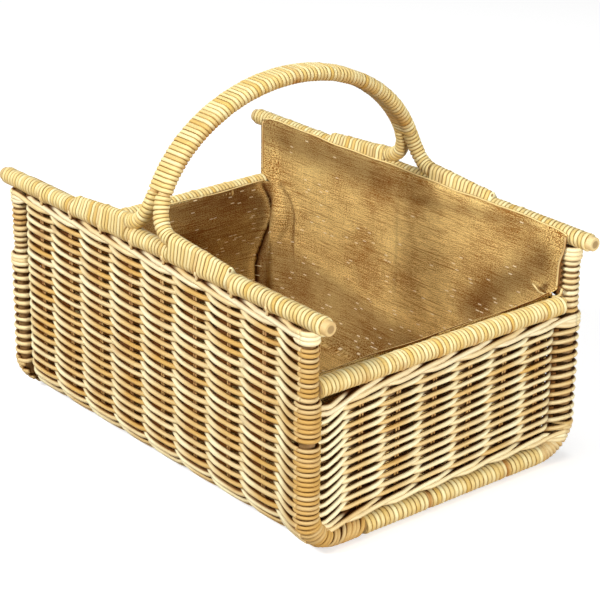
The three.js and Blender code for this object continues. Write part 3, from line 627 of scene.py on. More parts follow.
class Nodes:
    """Short calls for building a node tree."""

    def __init__(self, tree):
        self.tree = tree

    def feed(self, node, inputs):
        """Link or set a node's inputs."""
        for key, value in inputs.items():
            if isinstance(value, bpy.types.NodeSocket):
                self.tree.links.new(value, node.inputs[key])
            else:
                node.inputs[key].default_value = value
        return node

    def node(self, kind, inputs=None, **settings):
        node = self.tree.nodes.new("ShaderNode" + kind)
        for key, value in settings.items():
            setattr(node, key, value)
        return self.feed(node, inputs or {})

    def attribute(self, name, output="Fac"):
        return self.node("Attribute", attribute_name=name).outputs[output]

    def math(self, operation, a, b=0.5):
        return self.node("Math", {0: a, 1: b}, operation=operation).outputs[0]

    def add(self, first, *others):
        for other in others:
            first = self.math("ADD", first, other)
        return first

    def sub(self, a, b):
        return self.math("SUBTRACT", a, b)

    def mul(self, a, b):
        return self.math("MULTIPLY", a, b)

    def off_middle(self, value):
        """How far a value lies from the middle of its whole step."""
        return self.math("ABSOLUTE", self.sub(self.math("FRACT", value), 0.5))

    def split(self, vector):
        return self.node("SeparateXYZ", {0: vector}).outputs

    def join(self, x, y):
        return self.node("CombineXYZ", {0: x, 1: y}).outputs[0]

    def stretch(self, vector, factors):
        return self.node("VectorMath", {0: vector, 1: factors}, operation="MULTIPLY").outputs[0]

    def blend(self, share, a, b):
        return self.node("Mix", {0: share, 6: a, 7: b}, data_type="RGBA", clamp_factor=True).outputs[2]

    def noise(self, coordinates, scale=1.0, detail=2.0, roughness=0.5):
        inputs = {"Vector": coordinates, "Scale": scale, "Detail": detail, "Roughness": roughness}
        return self.node("TexNoise", inputs, noise_dimensions="3D").outputs["Fac"]

    def noise_along(self, value):
        return self.node("TexNoise", {"W": value, "Scale": 1.0}, noise_dimensions="1D").outputs["Fac"]

    def span(self, value, low, high, to_low=0.0, to_high=1.0, steps="SMOOTHSTEP"):
        inputs = {"Value": value, "From Min": low, "From Max": high, "To Min": to_low, "To Max": to_high}
        return self.node("MapRange", inputs, interpolation_type=steps).outputs[0]

    def looked_at(self):
        """1 for what the camera sees, straight or in a reflection."""
        path = self.node("LightPath").outputs
        return self.math("MAXIMUM", path["Is Camera Ray"], path["Is Glossy Ray"])


def fresh_nodes(owner):
    owner.use_nodes = True
    owner.node_tree.nodes.clear()
    return Nodes(owner.node_tree)


def group(name, inputs, outputs):
    """A node group. A number's or a colour's input is given by its default, and a vector's by none."""
    tree = bpy.data.node_groups.new(name, "ShaderNodeTree")
    kinds = {float: "NodeSocketFloat", tuple: "NodeSocketColor", type(None): "NodeSocketVector"}
    for label, default in inputs.items():
        socket = tree.interface.new_socket(label, in_out="INPUT", socket_type=kinds[type(default)])
        if default is not None:
            socket.default_value = default
    for label in outputs:
        kind = "NodeSocketColor" if label == "Color" else "NodeSocketFloat"
        tree.interface.new_socket(label, in_out="OUTPUT", socket_type=kind)
    return Nodes(tree), tree.nodes.new("NodeGroupInput").outputs, tree.nodes.new("NodeGroupOutput")


def straw_group():
    """Colour and fibres of rattan, along a strand whose coordinates run in metres."""
    found = bpy.data.node_groups.get("straw_fibres")
    if found:
        return found
    colours = dict.fromkeys(("Pale", "Straw", "Brown", "Shadow", "Deep"), WHITE)
    inputs = {"Strand": None, "Tint": 0.5, **colours, "Knots": 0.5, "Shade": 0.0, "Hidden": 0.0}
    n, given, out = group("straw_fibres", inputs, ("Color", "Roughness", "Height"))
    fibres = n.noise(n.stretch(given["Strand"], (45, 1300, 1300)), roughness=0.6)
    patches = n.noise(n.stretch(given["Strand"], (16, 60, 60)))
    slow = n.noise(n.stretch(given["Strand"], (5, 0, 0)), detail=1.0)
    tone = n.add(n.mul(given["Tint"], 0.55), n.mul(slow, 0.75), n.mul(n.sub(patches, 0.5), 0.5))
    colour = n.blend(n.span(tone, 0.25, 1.05, steps="LINEAR"), given["Pale"], given["Straw"])
    colour = n.blend(n.span(fibres, 0.5, 0.78, 0.0, 0.35), colour, given["Brown"])
    colour = n.blend(n.mul(n.span(patches, 0.58, 0.8, 0, 0.75), given["Knots"]), colour, given["Brown"])
    # Painted shade: the sides that face away turn to Shadow and Deep, and what lies behind turns to Deep.
    colour = n.blend(n.mul(given["Shade"], 0.85), colour, given["Shadow"])
    colour = n.blend(n.span(given["Shade"], 0.35, 0.85, 0.0, 0.75), colour, given["Deep"])
    colour = n.blend(given["Hidden"], colour, given["Deep"])
    n.feed(out, {"Color": colour, "Roughness": n.add(n.mul(fibres, 0.25), 0.38), "Height": fibres})
    return n.tree


def new_material(name):
    material = bpy.data.materials.new(name)
    n = fresh_nodes(material)
    shader = n.node("BsdfPrincipled")
    n.node("OutputMaterial", {0: shader.outputs[0]})
    return material, n, shader


def rattan(name):
    """Rattan with fibres. Strands carry their coordinates and tones as attributes, and cane as its UV map."""
    found = bpy.data.materials.get(name)
    if found:
        return found
    material, n, shader = new_material(name)
    _, pale, straw, knots, gloss = RATTAN[name]
    browns = {"Brown": "knot_brown", "Shadow": "shadow_brown", "Deep": "deep_brown"}
    tones = {"Pale": pale, "Straw": straw, **browns}
    inputs = {key: colour_of(tone) for key, tone in tones.items()}
    inputs["Knots"] = knots
    if name == "split_cane":
        turn = n.split(n.node("UVMap", uv_map="UVMap").outputs[0])
        turns = n.add(n.math("FLOOR", turn[0]), turn[1])
        inputs["Strand"] = n.join(n.mul(turns, 0.07), n.mul(n.math("FRACT", turn[0]), 0.006))
        inputs["Tint"] = n.span(n.noise_along(n.mul(turns, 0.8)), 0.3, 0.7)
    else:
        inputs["Strand"] = n.attribute("strand", "Vector")
        inputs |= {key: n.attribute(key.lower()) for key in ("Tint", "Shade", "Hidden")}
    fibres = n.node("Group", None, node_tree=straw_group())
    colour = n.feed(fibres, inputs).outputs["Color"]
    if name == "peeled_pole":
        ends = n.split(inputs["Strand"])
        reach = n.node("VectorMath", {0: n.join(ends[1], ends[2])}, operation="LENGTH").outputs["Value"]
        heart = n.mul(n.span(reach, 0.0036, 0.0056, 1.0, 0.0), 0.85)
        colour = n.blend(heart, colour, colour_of("pole_heart"))
    # Painted shade on the cane: each turn riper towards its edges and dark in the groove between two turns,
    # with its marked stains and painted shade blended in. What lies in the painted shade or between two turns
    # doesn't shine.
    if name == "split_cane":
        edge = n.off_middle(turn[0])
        colour = n.blend(n.span(edge, 0.1, 0.5, 0, 0.45), colour, colour_of("cane_straw"))
        colour = n.blend(n.mul(n.attribute("stain_and_shade"), 0.85), colour, colour_of("cane_brown"))
        uneven = n.span(n.noise_along(n.mul(turns, 2.3)), 0.3, 0.7, 0.45, 1.0)
        colour = n.blend(n.mul(n.span(edge, 0.34, 0.48), uneven), colour, colour_of("groove_brown"))
        lit = n.span(edge, 0.3, 0.48, 1.0, 0.1)
    else:
        lit = n.mul(n.sub(1.0, inputs["Hidden"]), n.span(inputs["Shade"], 0.1, 0.7, 1.0, 0.1))
    # Painted shade: undersides are browner than what faces the light.
    facing = n.split(n.node("NewGeometry").outputs["Normal"])[2]
    colour = n.blend(n.mul(n.span(facing, -0.75, 0.35, 1.0, 0.0), 0.42), colour, colour_of("shadow_brown"))
    bump = n.node("Bump", {"Height": fibres.outputs["Height"], "Strength": 0.25, "Distance": 0.0006})
    n.feed(shader, {
        "Base Color": colour,
        "Roughness": fibres.outputs["Roughness"],
        "Normal": bump.outputs[0],
        "Specular IOR Level": n.mul(lit, 0.22),
        "Coat Roughness": 0.35,
    })
    if gloss:
        n.feed(shader, {"Coat Weight": n.mul(lit, gloss)})
    return material


def hessian_group():
    """Threads, patches and slubs of hessian, on coordinates that run in metres."""
    found = bpy.data.node_groups.get("hessian_weave")
    if found:
        return found
    colours = dict.fromkeys(("Light", "Dark", "Deep", "Slub"), WHITE)
    inputs = {"Cloth": None, "Threads": 520.0, "Shade": 0.0, **colours}
    n, given, out = group("hessian_weave", inputs, ("Color", "Height"))
    cloth = given["Cloth"]
    x, y, _ = n.split(cloth)
    wander = n.mul(n.noise(cloth, 60.0, 1.0), 0.004)
    weft = n.mul(n.add(y, wander), given["Threads"])
    warp = n.mul(n.add(x, wander), given["Threads"])
    weave = n.mul(n.math("SINE", n.mul(weft, 2 * math.pi)), n.math("SINE", n.mul(warp, 2 * math.pi)))
    across = n.noise(n.stretch(cloth, (30, 620, 0)), roughness=0.6)
    along = n.noise(n.stretch(cloth, (620, 40, 0)), roughness=0.6)
    grain = n.noise(cloth, 900.0, 1.0)
    patches = n.noise(cloth, 9.0, 4.0, 0.6)
    tone = n.add(n.mul(across, 0.5), n.mul(along, 0.22), n.mul(n.sub(patches, 0.5), 0.75))
    tone = n.add(tone, n.mul(n.sub(grain, 0.5), 1.3), n.mul(weave, 0.08))
    colour = n.blend(n.span(tone, 0.17, 0.52), given["Dark"], given["Light"])
    threads = n.noise(n.stretch(cloth, (9, 480, 0)), 1.0, 1.0, 0.4)
    colour = n.blend(n.span(threads, 0.6, 0.7, 0.0, 0.6), colour, given["Dark"])
    # Painted shade from the cloth's shade attribute.
    colour = n.blend(given["Shade"], colour, given["Deep"])
    # Short thick threads, one in some of the cells of a staggered grid
    rise = n.mul(y, 430.0)
    row = n.math("FLOOR", rise)
    run = n.add(n.mul(x, 140.0), n.mul(row, 0.37))
    cell = {"Vector": n.join(n.math("FLOOR", run), row)}
    value = n.node("TexWhiteNoise", cell, noise_dimensions="2D").outputs["Value"]
    rare = n.add(value, n.mul(n.noise(cloth, 14.0), 0.09))
    rare = n.sub(rare, n.span(y, 0.17, 0.22, 0.0, 0.02))
    end = n.mul(n.span(x, 0.70, 0.76), n.span(x, 0.98, 1.05, 1.0, 0.0))
    rare = n.add(rare, n.mul(end, 0.03))
    slub = n.mul(n.span(rare, 1.02, 1.024), n.span(n.off_middle(run), 0.34, 0.46, 1.0, 0.0))
    slub = n.mul(slub, n.span(n.off_middle(rise), 0.18, 0.36, 1.0, 0.0))
    colour = n.blend(n.mul(slub, 0.85), colour, given["Slub"])
    n.feed(out, {"Color": colour, "Height": n.add(weave, n.mul(across, 1.2), n.mul(slub, 1.5))})
    return n.tree


def hessian_material():
    material, n, shader = new_material("brown_hessian")
    inputs = {key: colour_of("hessian_" + key.lower()) for key in ("Light", "Dark", "Deep", "Slub")}
    cloth = n.node("Group", None, node_tree=hessian_group())
    place = n.node("UVMap", uv_map="UVMap").outputs[0]
    n.feed(cloth, {"Cloth": place, "Shade": n.attribute("shade"), **inputs})
    bump = n.node("Bump", {"Height": cloth.outputs["Height"], "Strength": 0.5, "Distance": 0.0005})
    n.feed(shader, {
        "Base Color": cloth.outputs["Color"],
        "Roughness": 0.95,
        "Specular IOR Level": 0.05,
        "Normal": bump.outputs[0],
    })
    return material


# Sizes and colours that a user would change


def size(name, description, default):
    return FloatProperty(
        name=name, description=description, default=default,
        min=0.0001, max=1.0, subtype="DISTANCE", unit="LENGTH",
    )


def paint(name, description, *values):
    default = [value / 255 for value in values]
    return FloatVectorProperty(
        name=name, description=description, default=default, size=3, min=0, max=1, subtype="COLOR_GAMMA"
    )


class BasketSizes(PropertyGroup):
    weaver: size("Weaver", "Radius of a round weaver of the walls", 0.00308)
    row: size("Row", "Height of one row of paired weavers", 0.01154)
    in_and_out: size("In and Out", "How far a weaver swings out of and into the wall", 0.0049)
    up_and_down: size("Up and Down", "How far paired weavers rise and fall about each other", 0.003)
    wale: size("Wale", "Radius of a weaver of the bands of long strokes", 0.0034)
    stake: size("Stake", "Radius of one stake of a pair", 0.0013)
    stake_gap: size("Stake Spacing", "Distance between the two stakes of a pair", 0.0038)
    rail_cane: size("Rail Cane", "Width of the cane round the rails", 0.006)
    handle_cane: size("Handle Cane", "Width of the cane round the handle", 0.0053)
    base_cane: size("Base Cane", "Width of the cane round the base rods", 0.0067)
    pole: size("Pole", "Radius of the rail poles", 0.0085)


class BasketColours(PropertyGroup):
    weaver_pale: paint("Weaver Pale", "Pale weavers", 255, 247, 202)
    weaver_straw: paint("Weaver Straw", "Ripe weavers", 219, 177, 98)
    wale_pale: paint("Wale Pale", "Pale long strokes", 252, 242, 204)
    wale_straw: paint("Wale Straw", "Ripe long strokes", 230, 198, 126)
    cane_pale: paint("Cane Pale", "Pale cane", 252, 242, 188)
    cane_straw: paint("Cane Straw", "Ripe cane", 222, 186, 100)
    # Brown and stained cane, and the colour that paints shade on the cane's undersides, inner sides and sunk
    # turns.
    cane_brown: paint("Brown Cane", "Stained turns of cane", 176, 116, 44)
    groove_brown: paint("Grooves", "Shade between two turns of cane", 108, 66, 18)
    pole_pale: paint("Pole Pale", "Bare pole", 240, 222, 168)
    pole_straw: paint("Pole Straw", "Bare pole, riper", 206, 168, 104)
    pole_heart: paint("Pole Heart", "Cut ends of the poles", 150, 122, 80)
    shadow_brown: paint("Shadow Side", "Sides of the weavers that face away", 158, 102, 30)
    deep_brown: paint("Deep Shade", "Weavers where they pass behind the stakes", 96, 48, 12)
    stake_light: paint("Stake Light", "Lighter stakes", 222, 180, 112)
    stake_dark: paint("Stake Dark", "Darker stakes", 168, 112, 60)
    knot_brown: paint("Knots", "Stains and fibres of the rattan", 166, 108, 44)
    hessian_light: paint("Hessian Light", "Light threads of the lining", 255, 222, 144)
    hessian_dark: paint("Hessian Dark", "Dark threads of the lining", 142, 86, 28)
    hessian_slub: paint("Hessian Slubs", "Thick pale threads of the lining", 255, 240, 200)
    # The colour of the painted shade in the lining's fold, under its hem and in its darker patches.
    hessian_deep: paint("Hessian Shade", "Lining in its folds and stains", 88, 46, 12)
    hem_cream: paint("Hem", "Cord along the lining's edge", 244, 224, 160)


def sizes(name):
    return getattr(bpy.context.scene.basket_sizes, name) / MM


# Poles, rails, handle, stakes and walls


class BasketOperator(Operator):
    bl_options = {"REGISTER", "UNDO"}


class BASKET_OT_end_frames(BasketOperator):
    """Make the two bent poles of the ends and bind their base rods"""

    bl_idname = "basket.end_frames"
    bl_label = "End Frames"

    def execute(self, context):
        for end, sign in ENDS:
            points = rod_route() + [sign * POST_X, 0, 0]
            z = points[:, 2]
            # The pole is thicker inside the lower turns of the posts, and the whole pole is darkened with
            # painted shade.
            thick = ROD_RADIUS + 2.5 * smooth(z, 44, 60) * (1 - smooth(z, 182, 190))
            make_rod(f"{end}_end_frame_rod", f"{end}_end_frame_pole", points, thick, 16, 0.8, 0.72)
            route = Route(points, (1, 0, 0))
            low, high = sorted((route.length / 2 - sign * 119, route.length / 2 + sign * 165))
            gaps = np.array([0.34, 0.78] if sign > 0 else [0.22, 0.66]) * (high - low) + low

            def sink(distance, angle):
                return -2.2 * hump(nearest(distance, gaps), 2.4)

            # Painted shade where the cane sinks at the gaps.
            def gap_shade(distance, angle):
                return 1.3 * hump(nearest(distance, gaps), 3.0)

            wind(
                f"{end}_base_cane", f"{end}_base_binding", route, low, high,
                [(0, 0, ROD_RADIUS)], sizes("base_cane"), 4.5, 2.2, sink, gap_shade,
            )
        return {"FINISHED"}


class BASKET_OT_rails(BasketOperator):
    """Make the two long rail poles and the cane wound round them and the handle's tails"""

    bl_idname = "basket.rails"
    bl_label = "Long Rails"

    def execute(self, context):
        pole = sizes("pole")
        # The cut ends of a rail are rounded
        far, near = RAIL_HALF - 1.2, RAIL_HALF - 20
        x = np.array([-RAIL_HALF, -far, -near, 0, near, far, RAIL_HALF])
        radius = [pole - 1.1, *[pole] * 5, pole - 1.1]

        def tail(distance):
            """The handle's tail on the rail, or a point inside the rail where there is none."""
            x = distance - RAIL_HALF
            foot = np.where(x < 0, FOOT_LEFT, FOOT_RIGHT)
            past = (x - foot) * np.sign(foot)
            r = mix(HANDLE_ROD, TAIL_TIP, np.clip(past / TAIL, 0, 1))
            here = (past >= -4) & (past <= TAIL)
            return np.where(here, pole + 0.4 + r, 0.0), 0, np.where(here, r, 1.0)

        for side, sign in SIDES:
            points = np.stack([x, np.full(7, sign * POST_Y), np.full(7, RAIL_Z)], axis=1)
            make_rod(f"{side}_rail_rod", f"{side}_rail_pole", points, radius, 20)
            route = Route(points[[0, -1]], (0, 0, 1))
            joins = SIDE_STAKES - sign * 14 + RAIL_HALF

            def lift(distance, angle):
                under = np.clip(0.4 - np.cos(angle), 0, 1)
                after = since(distance, joins, 0.5)
                return hump(nearest(distance, joins), 2.8) * (0.4 + under) + 0.5 * np.exp(-after / 9)

            for part, low, high in (
                ("left", 8, RAIL_HALF + FOOT_LEFT),
                ("middle", RAIL_HALF + FOOT_LEFT + 1, RAIL_HALF + FOOT_RIGHT - 1),
                ("right", RAIL_HALF + FOOT_RIGHT, 2 * RAIL_HALF - 8),
            ):
                circles = [(0, 0, pole)] if part == "middle" else [(0, 0, pole), tail]
                wind(
                    f"{side}_rail_{part}_cane", f"{side}_rail_{part}_binding", route, low, high,
                    circles, sizes("rail_cane"), lift=lift, stain_and_shade=darker_before_joins(joins, 0.7, 9, 0.25),
                )
            # Tabs of cane at the joins, with a little painted shade.
            tabs = Strands()
            angle = np.radians([95, 115, 133])
            down = np.append(11.2 * np.cos(angle), [-10.8, -13.0])
            out = np.append(11.4 * np.sin(angle), [8.4, 8.2])
            for join in joins - RAIL_HALF:
                along = join + np.linspace(0.6, -0.6, 5)
                line = np.stack([along, sign * (POST_Y + out), RAIL_Z + down], axis=1)
                tabs.add(line, [1.4, 1.9, 2.1, 2.0, 1.5], 0.7, (0, sign, 0), 0.05)
            tabs.make(f"{side}_rail_tabs", "cream_wale", slot="cane_binding")
        return {"FINISHED"}


class BASKET_OT_end_rails(BasketOperator):
    """Make the two lower rails across the ends, with their cane"""

    bl_idname = "basket.end_rails"
    bl_label = "End Rails"

    def execute(self, context):
        half, pole = POST_Y - 12.4, sizes("pole")
        for end, sign in ENDS:
            points = [(sign * POST_X, -half, END_RAIL_Z), (sign * POST_X, half, END_RAIL_Z)]
            make_rod(f"{end}_end_rail_rod", f"{end}_end_rail_pole", points, pole)
            route = Route(points, (0, 0, 1))
            joins = END_STAKES * sign + half

            def lift(distance, angle):
                return 0.8 * hump(nearest(distance, joins), 2.6)

            wind(
                f"{end}_end_rail_cane", f"{end}_end_rail_binding", route, 0.3, 2 * half - 0.3,
                [(0, 0, pole)], sizes("rail_cane") * 0.9, 3.1, 2.0, lift, darker_before_joins(joins, 0.6, 8, 0.2),
            )
        return {"FINISHED"}


def on_rail(radius):
    """The height of a handle's rod of this radius where it lies on the rail."""
    return RAIL_Z + sizes("pole") + TAIL_ROOM + radius


def leg_points(foot, offset, side):
    """The line of a leg, from the crotch of the handle down to where it lies on the rail."""
    crotch = np.array([offset, side * POST_Y * math.cos(CROTCH), SPRINGING + HANDLE_RISE * math.sin(CROTCH)])
    down = np.array([0, side * POST_Y * math.sin(CROTCH), -HANDLE_RISE * math.cos(CROTCH)])
    down /= np.linalg.norm(down)
    landing = np.array([foot, side * POST_Y, on_rail(HANDLE_ROD)])
    bend = [crotch, crotch + down * (crotch[2] - landing[2]) * 0.62, landing - [foot / 2, 0, 0], landing]
    t = np.linspace(0, 1, 25)[:, None]
    return sum(c * (1 - t) ** (3 - k) * t**k * math.comb(3, k) for k, c in enumerate(bend))


def arch_points(offset):
    angle = np.linspace(math.pi - CROTCH, CROTCH, 73)
    z = SPRINGING + HANDLE_RISE * np.sin(angle)
    return np.stack([np.full(73, offset), POST_Y * np.cos(angle), z], axis=1)


class BASKET_OT_handle(BasketOperator):
    """Make the handle's two rods, their legs and tails, and the cane wound round them"""

    bl_idname = "basket.handle"
    bl_label = "Handle"

    def execute(self, context):
        turn = sizes("handle_cane")
        for name, foot, sign in (("left", FOOT_LEFT, -1), ("right", FOOT_RIGHT, 1)):
            offset = sign * HALF_APART
            near, far = leg_points(foot, offset, -1), leg_points(foot, offset, 1)
            tips = [[[foot + sign * TAIL, side * POST_Y, on_rail(TAIL_TIP)]] for side in (-1, 1)]
            line = np.vstack([tips[0], near[::-1], arch_points(offset)[1:-1], far, tips[1]])
            radius = np.full(len(line), HANDLE_ROD)
            radius[[0, -1]] = TAIL_TIP
            make_rod(f"handle_{name}_core", f"handle_{name}_rod", line, radius)
            for side, points in (("front", near), ("back", far)):
                route = Route(points, (sign, 0, 0))
                wind(
                    f"{side}_{name}_leg_cane", f"{side}_{name}_leg_binding", route,
                    route.length * 0.04, route.length * 0.97, [(0, 0, HANDLE_ROD)], turn, sides=24,
                )
        route = Route(arch_points(0), (0, -1, 0))
        # Places along the arch where brown cane was used, with half lengths and strengths
        brown = (
            (38, 6, 0.9), (62, 20, 0.35), (92, 16, 0.75), (225, 7, 0.95), (330, 30, 0.35), (425, 14, 0.4),
        )

        # Brown cane at those places, stronger on the inner side of the arch, and painted shade along the
        # whole inner side.
        def stain_and_shade(distance, angle):
            inner = np.clip(0.35 - np.cos(angle), 0, 1)
            worn = sum(amount * np.exp(-(((distance - at) / half) ** 4)) for at, half, amount in brown)
            return worn * (0.25 + 0.75 * inner) + 0.12 * inner

        rods = [(0, -HALF_APART, HANDLE_ROD), (0, HALF_APART, HANDLE_ROD)]
        wind("handle_cane", "handle_binding", route, 0, route.length, rods, turn, 2.2, stain_and_shade=stain_and_shade, sides=32)
        return {"FINISHED"}


class BASKET_OT_stakes(BasketOperator):
    """Make the pairs of brown stakes that the weavers pass"""

    bl_idname = "basket.stakes"
    bl_label = "Stakes"

    def execute(self, context):
        def pair(name, node, line):
            strands = Strands()
            for shift in (-0.5, 0.5):
                strands.add(line(shift * sizes("stake_gap")), sizes("stake"))
            strands.make(name, "brown_stakes", node)

        t = np.concatenate([[0.6], np.linspace(TOP_TO_BEND, TOP_TO_BEND + BEND_LENGTH, 12)])
        t = np.concatenate([t, 2 * U_HALF - t[::-1]])
        for i, x in enumerate(SIDE_STAKES, 1):
            pair(f"side_stake_pair_{i}", f"side_stake_{i}",
                 lambda shift: wall_point("front", np.full(len(t), x + shift), t, 0.0))
        for end, sign in ENDS:
            for i, y in enumerate(END_STAKES, 1):
                pair(f"{end}_end_stake_pair_{i}", f"{end}_end_stake_{i}",
                     lambda shift: end_point(sign, np.full(2, y + shift), np.array([26.2, END_TOP]), 0))
        # One stake stands in the inner corner beside each post and closes it. The corner stakes are darkened
        # with painted shade.
        corners = Strands()
        for _, x in ENDS:
            for _, y in SIDES:
                line = [(x * (POST_X - 9.5), y * (POST_Y - 7), z) for z in (26.0, 110.0, 190.0, WALL_TOP - 2)]
                corners.add(line, 4.4, 0.8, hidden=0.6)
        corners.make("corner_stakes", "brown_stakes", sides=10)
        return {"FINISHED"}


class BASKET_OT_walls(BasketOperator):
    """Weave the walls, the rounded lower edges and the base, and turn the weavers round the posts"""

    bl_idname = "basket.walls"
    bl_label = "Woven Walls"

    def execute(self, context):
        wraps = {(side, end): Strands() for side, _ in SIDES for end, _ in ENDS}
        for side, _ in SIDES:
            self.weave_side(side, wraps[side, TURN_POST[side]], wraps[side, START_POST[side]])
        base = Strands()
        for k in range(BASE_ROWS):
            plain_pair(TOP_TO_BEND + BEND_LENGTH + 2 * FLOOR_HALF * (k + 0.5) / BASE_ROWS, base)
        base.make("base_weavers", "buff_weavers", "base_weave")
        for end, _ in ENDS:
            wall, wale = Strands(), Strands()
            turned = wraps["back" if end == "right" else "front", end]
            for k in range(END_ROWS):
                end_pair(end, mix(END_TOP - 14.0, 40.5, (k + 0.5) / END_ROWS), wall, turned)
            end_wale(end, 33.5, wall, sizes("wale"), 3.6, dip=6.0)
            end_wale(end, END_TOP - 6.8, wale, sizes("wale") * 1.04, 4.0, turned, dip=9.0)
            wall.make(f"{end}_end_weavers", "buff_weavers", f"{end}_end_weave")
            wale.make(f"{end}_end_wale_strokes", "cream_wale", f"{end}_end_wale")
        for (side, end), strands in wraps.items():
            strands.make(f"{side}_{end}_post_rings", "buff_weavers", f"{side}_{end}_post_wraps")
        return {"FINISHED"}

    def weave_side(self, side, turn, start):
        """One long wall, its lower edge and its band of long strokes, with their turns round both posts."""
        wall, bend, wale = Strands(), Strands(), Strands()
        for k in range(WALL_ROWS):
            t = mix(WALE_BELOW, TOP_TO_BEND, (k + 0.5) / WALL_ROWS)
            # One turn is missing halfway up the front post
            long_pair(side, t, {"wall": wall, "turn": turn}, one_turn=side == "front" and k == 9)
        for k in range(BEND_ROWS):
            t = TOP_TO_BEND + BEND_LENGTH * (k + 0.5) / BEND_ROWS
            long_pair(side, t, {"wall": bend, "turn": turn}, lean=1.2 + 0.75 * k * k)
            # Turns round the start post, each with a little painted shade.
            for at, sweep in ((0.0, 0.62), (0.5, -0.6)):
                points, away = ring(side, START_POST[side], t + (at - 0.25) * 11, at, sweep, 0.6)
                start.add(points, sizes("weaver"), 0.5 + 0.5 * chance.random(), away, 0.12)
        # The weavers go on round the base rod, leaning over, up to its cane, with a little painted shade.
        for step in np.arange(TOP_TO_BEND + BEND_LENGTH, TOP_TO_BEND + BEND_LENGTH + FLOOR_FAN, 6.6):
            points, away = ring(side, TURN_POST[side], step, -0.1, 0.7, 22.0 + chance.normal(0, 1.5), 9.4, 22)
            turn.add(points, sizes("weaver") * 0.98, 0.5 + 0.8 * chance.random(), away, 0.14)
        # Rings round the other post above the end rail, with a little painted shade.
        for step in np.arange(WALE_BELOW + 5, STEP_DOWN - 2, 7.4):
            points, away = ring(side, START_POST[side], step, -0.35, 1.0, 1.0, 9.0, 22)
            start.add(points, 2.7 + chance.normal(0, 0.2), chance.random() * 0.9, away, 0.08)
        long_wale(side, WALE_BELOW / 2 + 0.2, {"wale": wale, "turn": turn, "start": start})
        wall.make(f"{side}_wall_weavers", "buff_weavers", f"{side}_wall_weave")
        bend.make(f"{side}_edge_weavers", "buff_weavers", f"{side}_bend_weave")
        wale.make(f"{side}_wale_strokes", "cream_wale", f"{side}_wale")


# The lining. A place is a length round its plan, from the middle of the right end by the back

CLOTH_ARC = CLOTH_CORNER * math.pi / 2
LONG_SIDE = [CLOTH_ARC, 2 * HALF_X, CLOTH_ARC]
STOPS = np.cumsum([0, HALF_Y, *LONG_SIDE, 2 * HALF_Y, *LONG_SIDE, HALF_Y])
FOLD_CORNER = STOPS[3] + CLOTH_CORNER * math.pi / 4


def cloth_columns():
    """Places round the plan, close together where the cloth folds."""
    places = [0.0]
    while places[-1] < STOPS[-1] - 0.5:
        here = places[-1]
        step = 5.0
        if abs(here - STOPS[3]) < 75:
            step = 1.5
        elif -20 < here - STOPS[2] < 45:
            step = 1.8
        elif np.abs(here - STOPS[1:-1]).min() < 22:
            step = 2.6
        places.append(here + step)
    return np.array(places) * STOPS[-1] / places[-1]


def cloth_plan(place):
    """Plan position, inward direction and the share that belongs to a long side, for each place."""
    k = np.clip(np.searchsorted(STOPS, place, side="right") - 1, 0, 8)
    d = place - STOPS[k]
    turn = k % 8 // 2 * (math.pi / 2) + np.where(k % 2, d / CLOTH_CORNER, 0)
    start_x = HALF_X * np.array([1, 1, 1, -1, -1, -1, -1, 1, 1])
    start_y = HALF_Y * np.array([0, 1, 1, 1, 1, -1, -1, -1, -1])
    centre_x = start_x[k] + np.array([0, 0, -1, 0, 0, 0, 1, 0, 0])[k] * d
    centre_y = start_y[k] + np.array([1, 0, 0, 0, -1, 0, 0, 0, 1])[k] * d
    cos, sin = np.cos(turn), np.sin(turn)
    share = np.arcsin(np.clip(np.abs(sin), 0, 1)) / (math.pi / 2)
    return centre_x + CLOTH_CORNER * cos, centre_y + CLOTH_CORNER * sin, -cos, -sin, share


def fold_lines(z):
    """Where the fold's valley and its far side lie, along the wall from the corner."""
    heights = [68, 89, 103, 119, 135, 152, 166, 180, 198]
    crease = np.interp(z, heights, [-28, -28, -24, -16, -7, 1.5, 3, -2, -13])
    second = np.interp(z, [94, 108, 125, 148, 169, 182, 195, 200], [51, 49, 47, 48, 48, 42, 32, 18])
    return crease, second


def cloth_shade(place, x, y, z):
    """How dark the cloth is: painted shade in the valley of its fold and in the hollow where it curls, and
    darker patches.
    """
    s = FOLD_CORNER - place
    crease, second = fold_lines(z)
    past = s - crease
    low = smooth(z, 24, 60) * (1 - smooth(z, 200, 210))
    # The end wall beside the fold lies in its shade
    end = smooth(-past, 0, 16) * (1 - smooth(place, STOPS[5] - 40, STOPS[5])) * smooth(z, 20, 60)
    # On the back wall: painted shade in a slanting band, a painted shadow under the hem, darker upper and
    # lower parts, a seam and painted shade in a hollow
    back = smooth(y, 150, 175)
    across = (x - 125) * 0.66 - (z - 142) * 0.75
    along = (x - 125) * 0.75 + (z - 142) * 0.66
    shades = (
        low * 0.97 * hump(past - 4, 5.5),
        low * 0.72 * smooth(past, 0, 3) * (1 - smooth(past, 9, 25)),
        low * 0.3 * hump(past - 37, 4),
        low * smooth(z, 80, 105) * 0.6 * hump(s - second, 4.5),
        0.35 * smooth(z, 135, 90) * smooth(past, 20, 30) * (1 - smooth(past, 70, 120)),
        end * (0.36 + 0.3 * smooth(z + 0.12 * past, 150, 185)),
        back * 0.62 * hump(across, 24) * smooth(along, -45, 5) * (1 - smooth(along, 150, 190)),
        back * 0.3 * hump(z - 256 - 0.13 * x, 9) * smooth(x, -90, -50) * (1 - smooth(x, 220, 250)),
        back * 0.6 * smooth(z, 225, 275) * smooth(-x, -60, 60),
        back * 0.48 * smooth(118 - 0.18 * (x + 215) - z, -14, 14) * (1 - smooth(x, 20, 120)),
        back * 0.2 * hump(x + 12, 2.6) * smooth(z, 100, 130),
        back * 0.9 * hump(x - 252, 8) * hump(z - 215, 5.5),
    )
    return np.clip(np.maximum.reduce(shades), 0, 1)


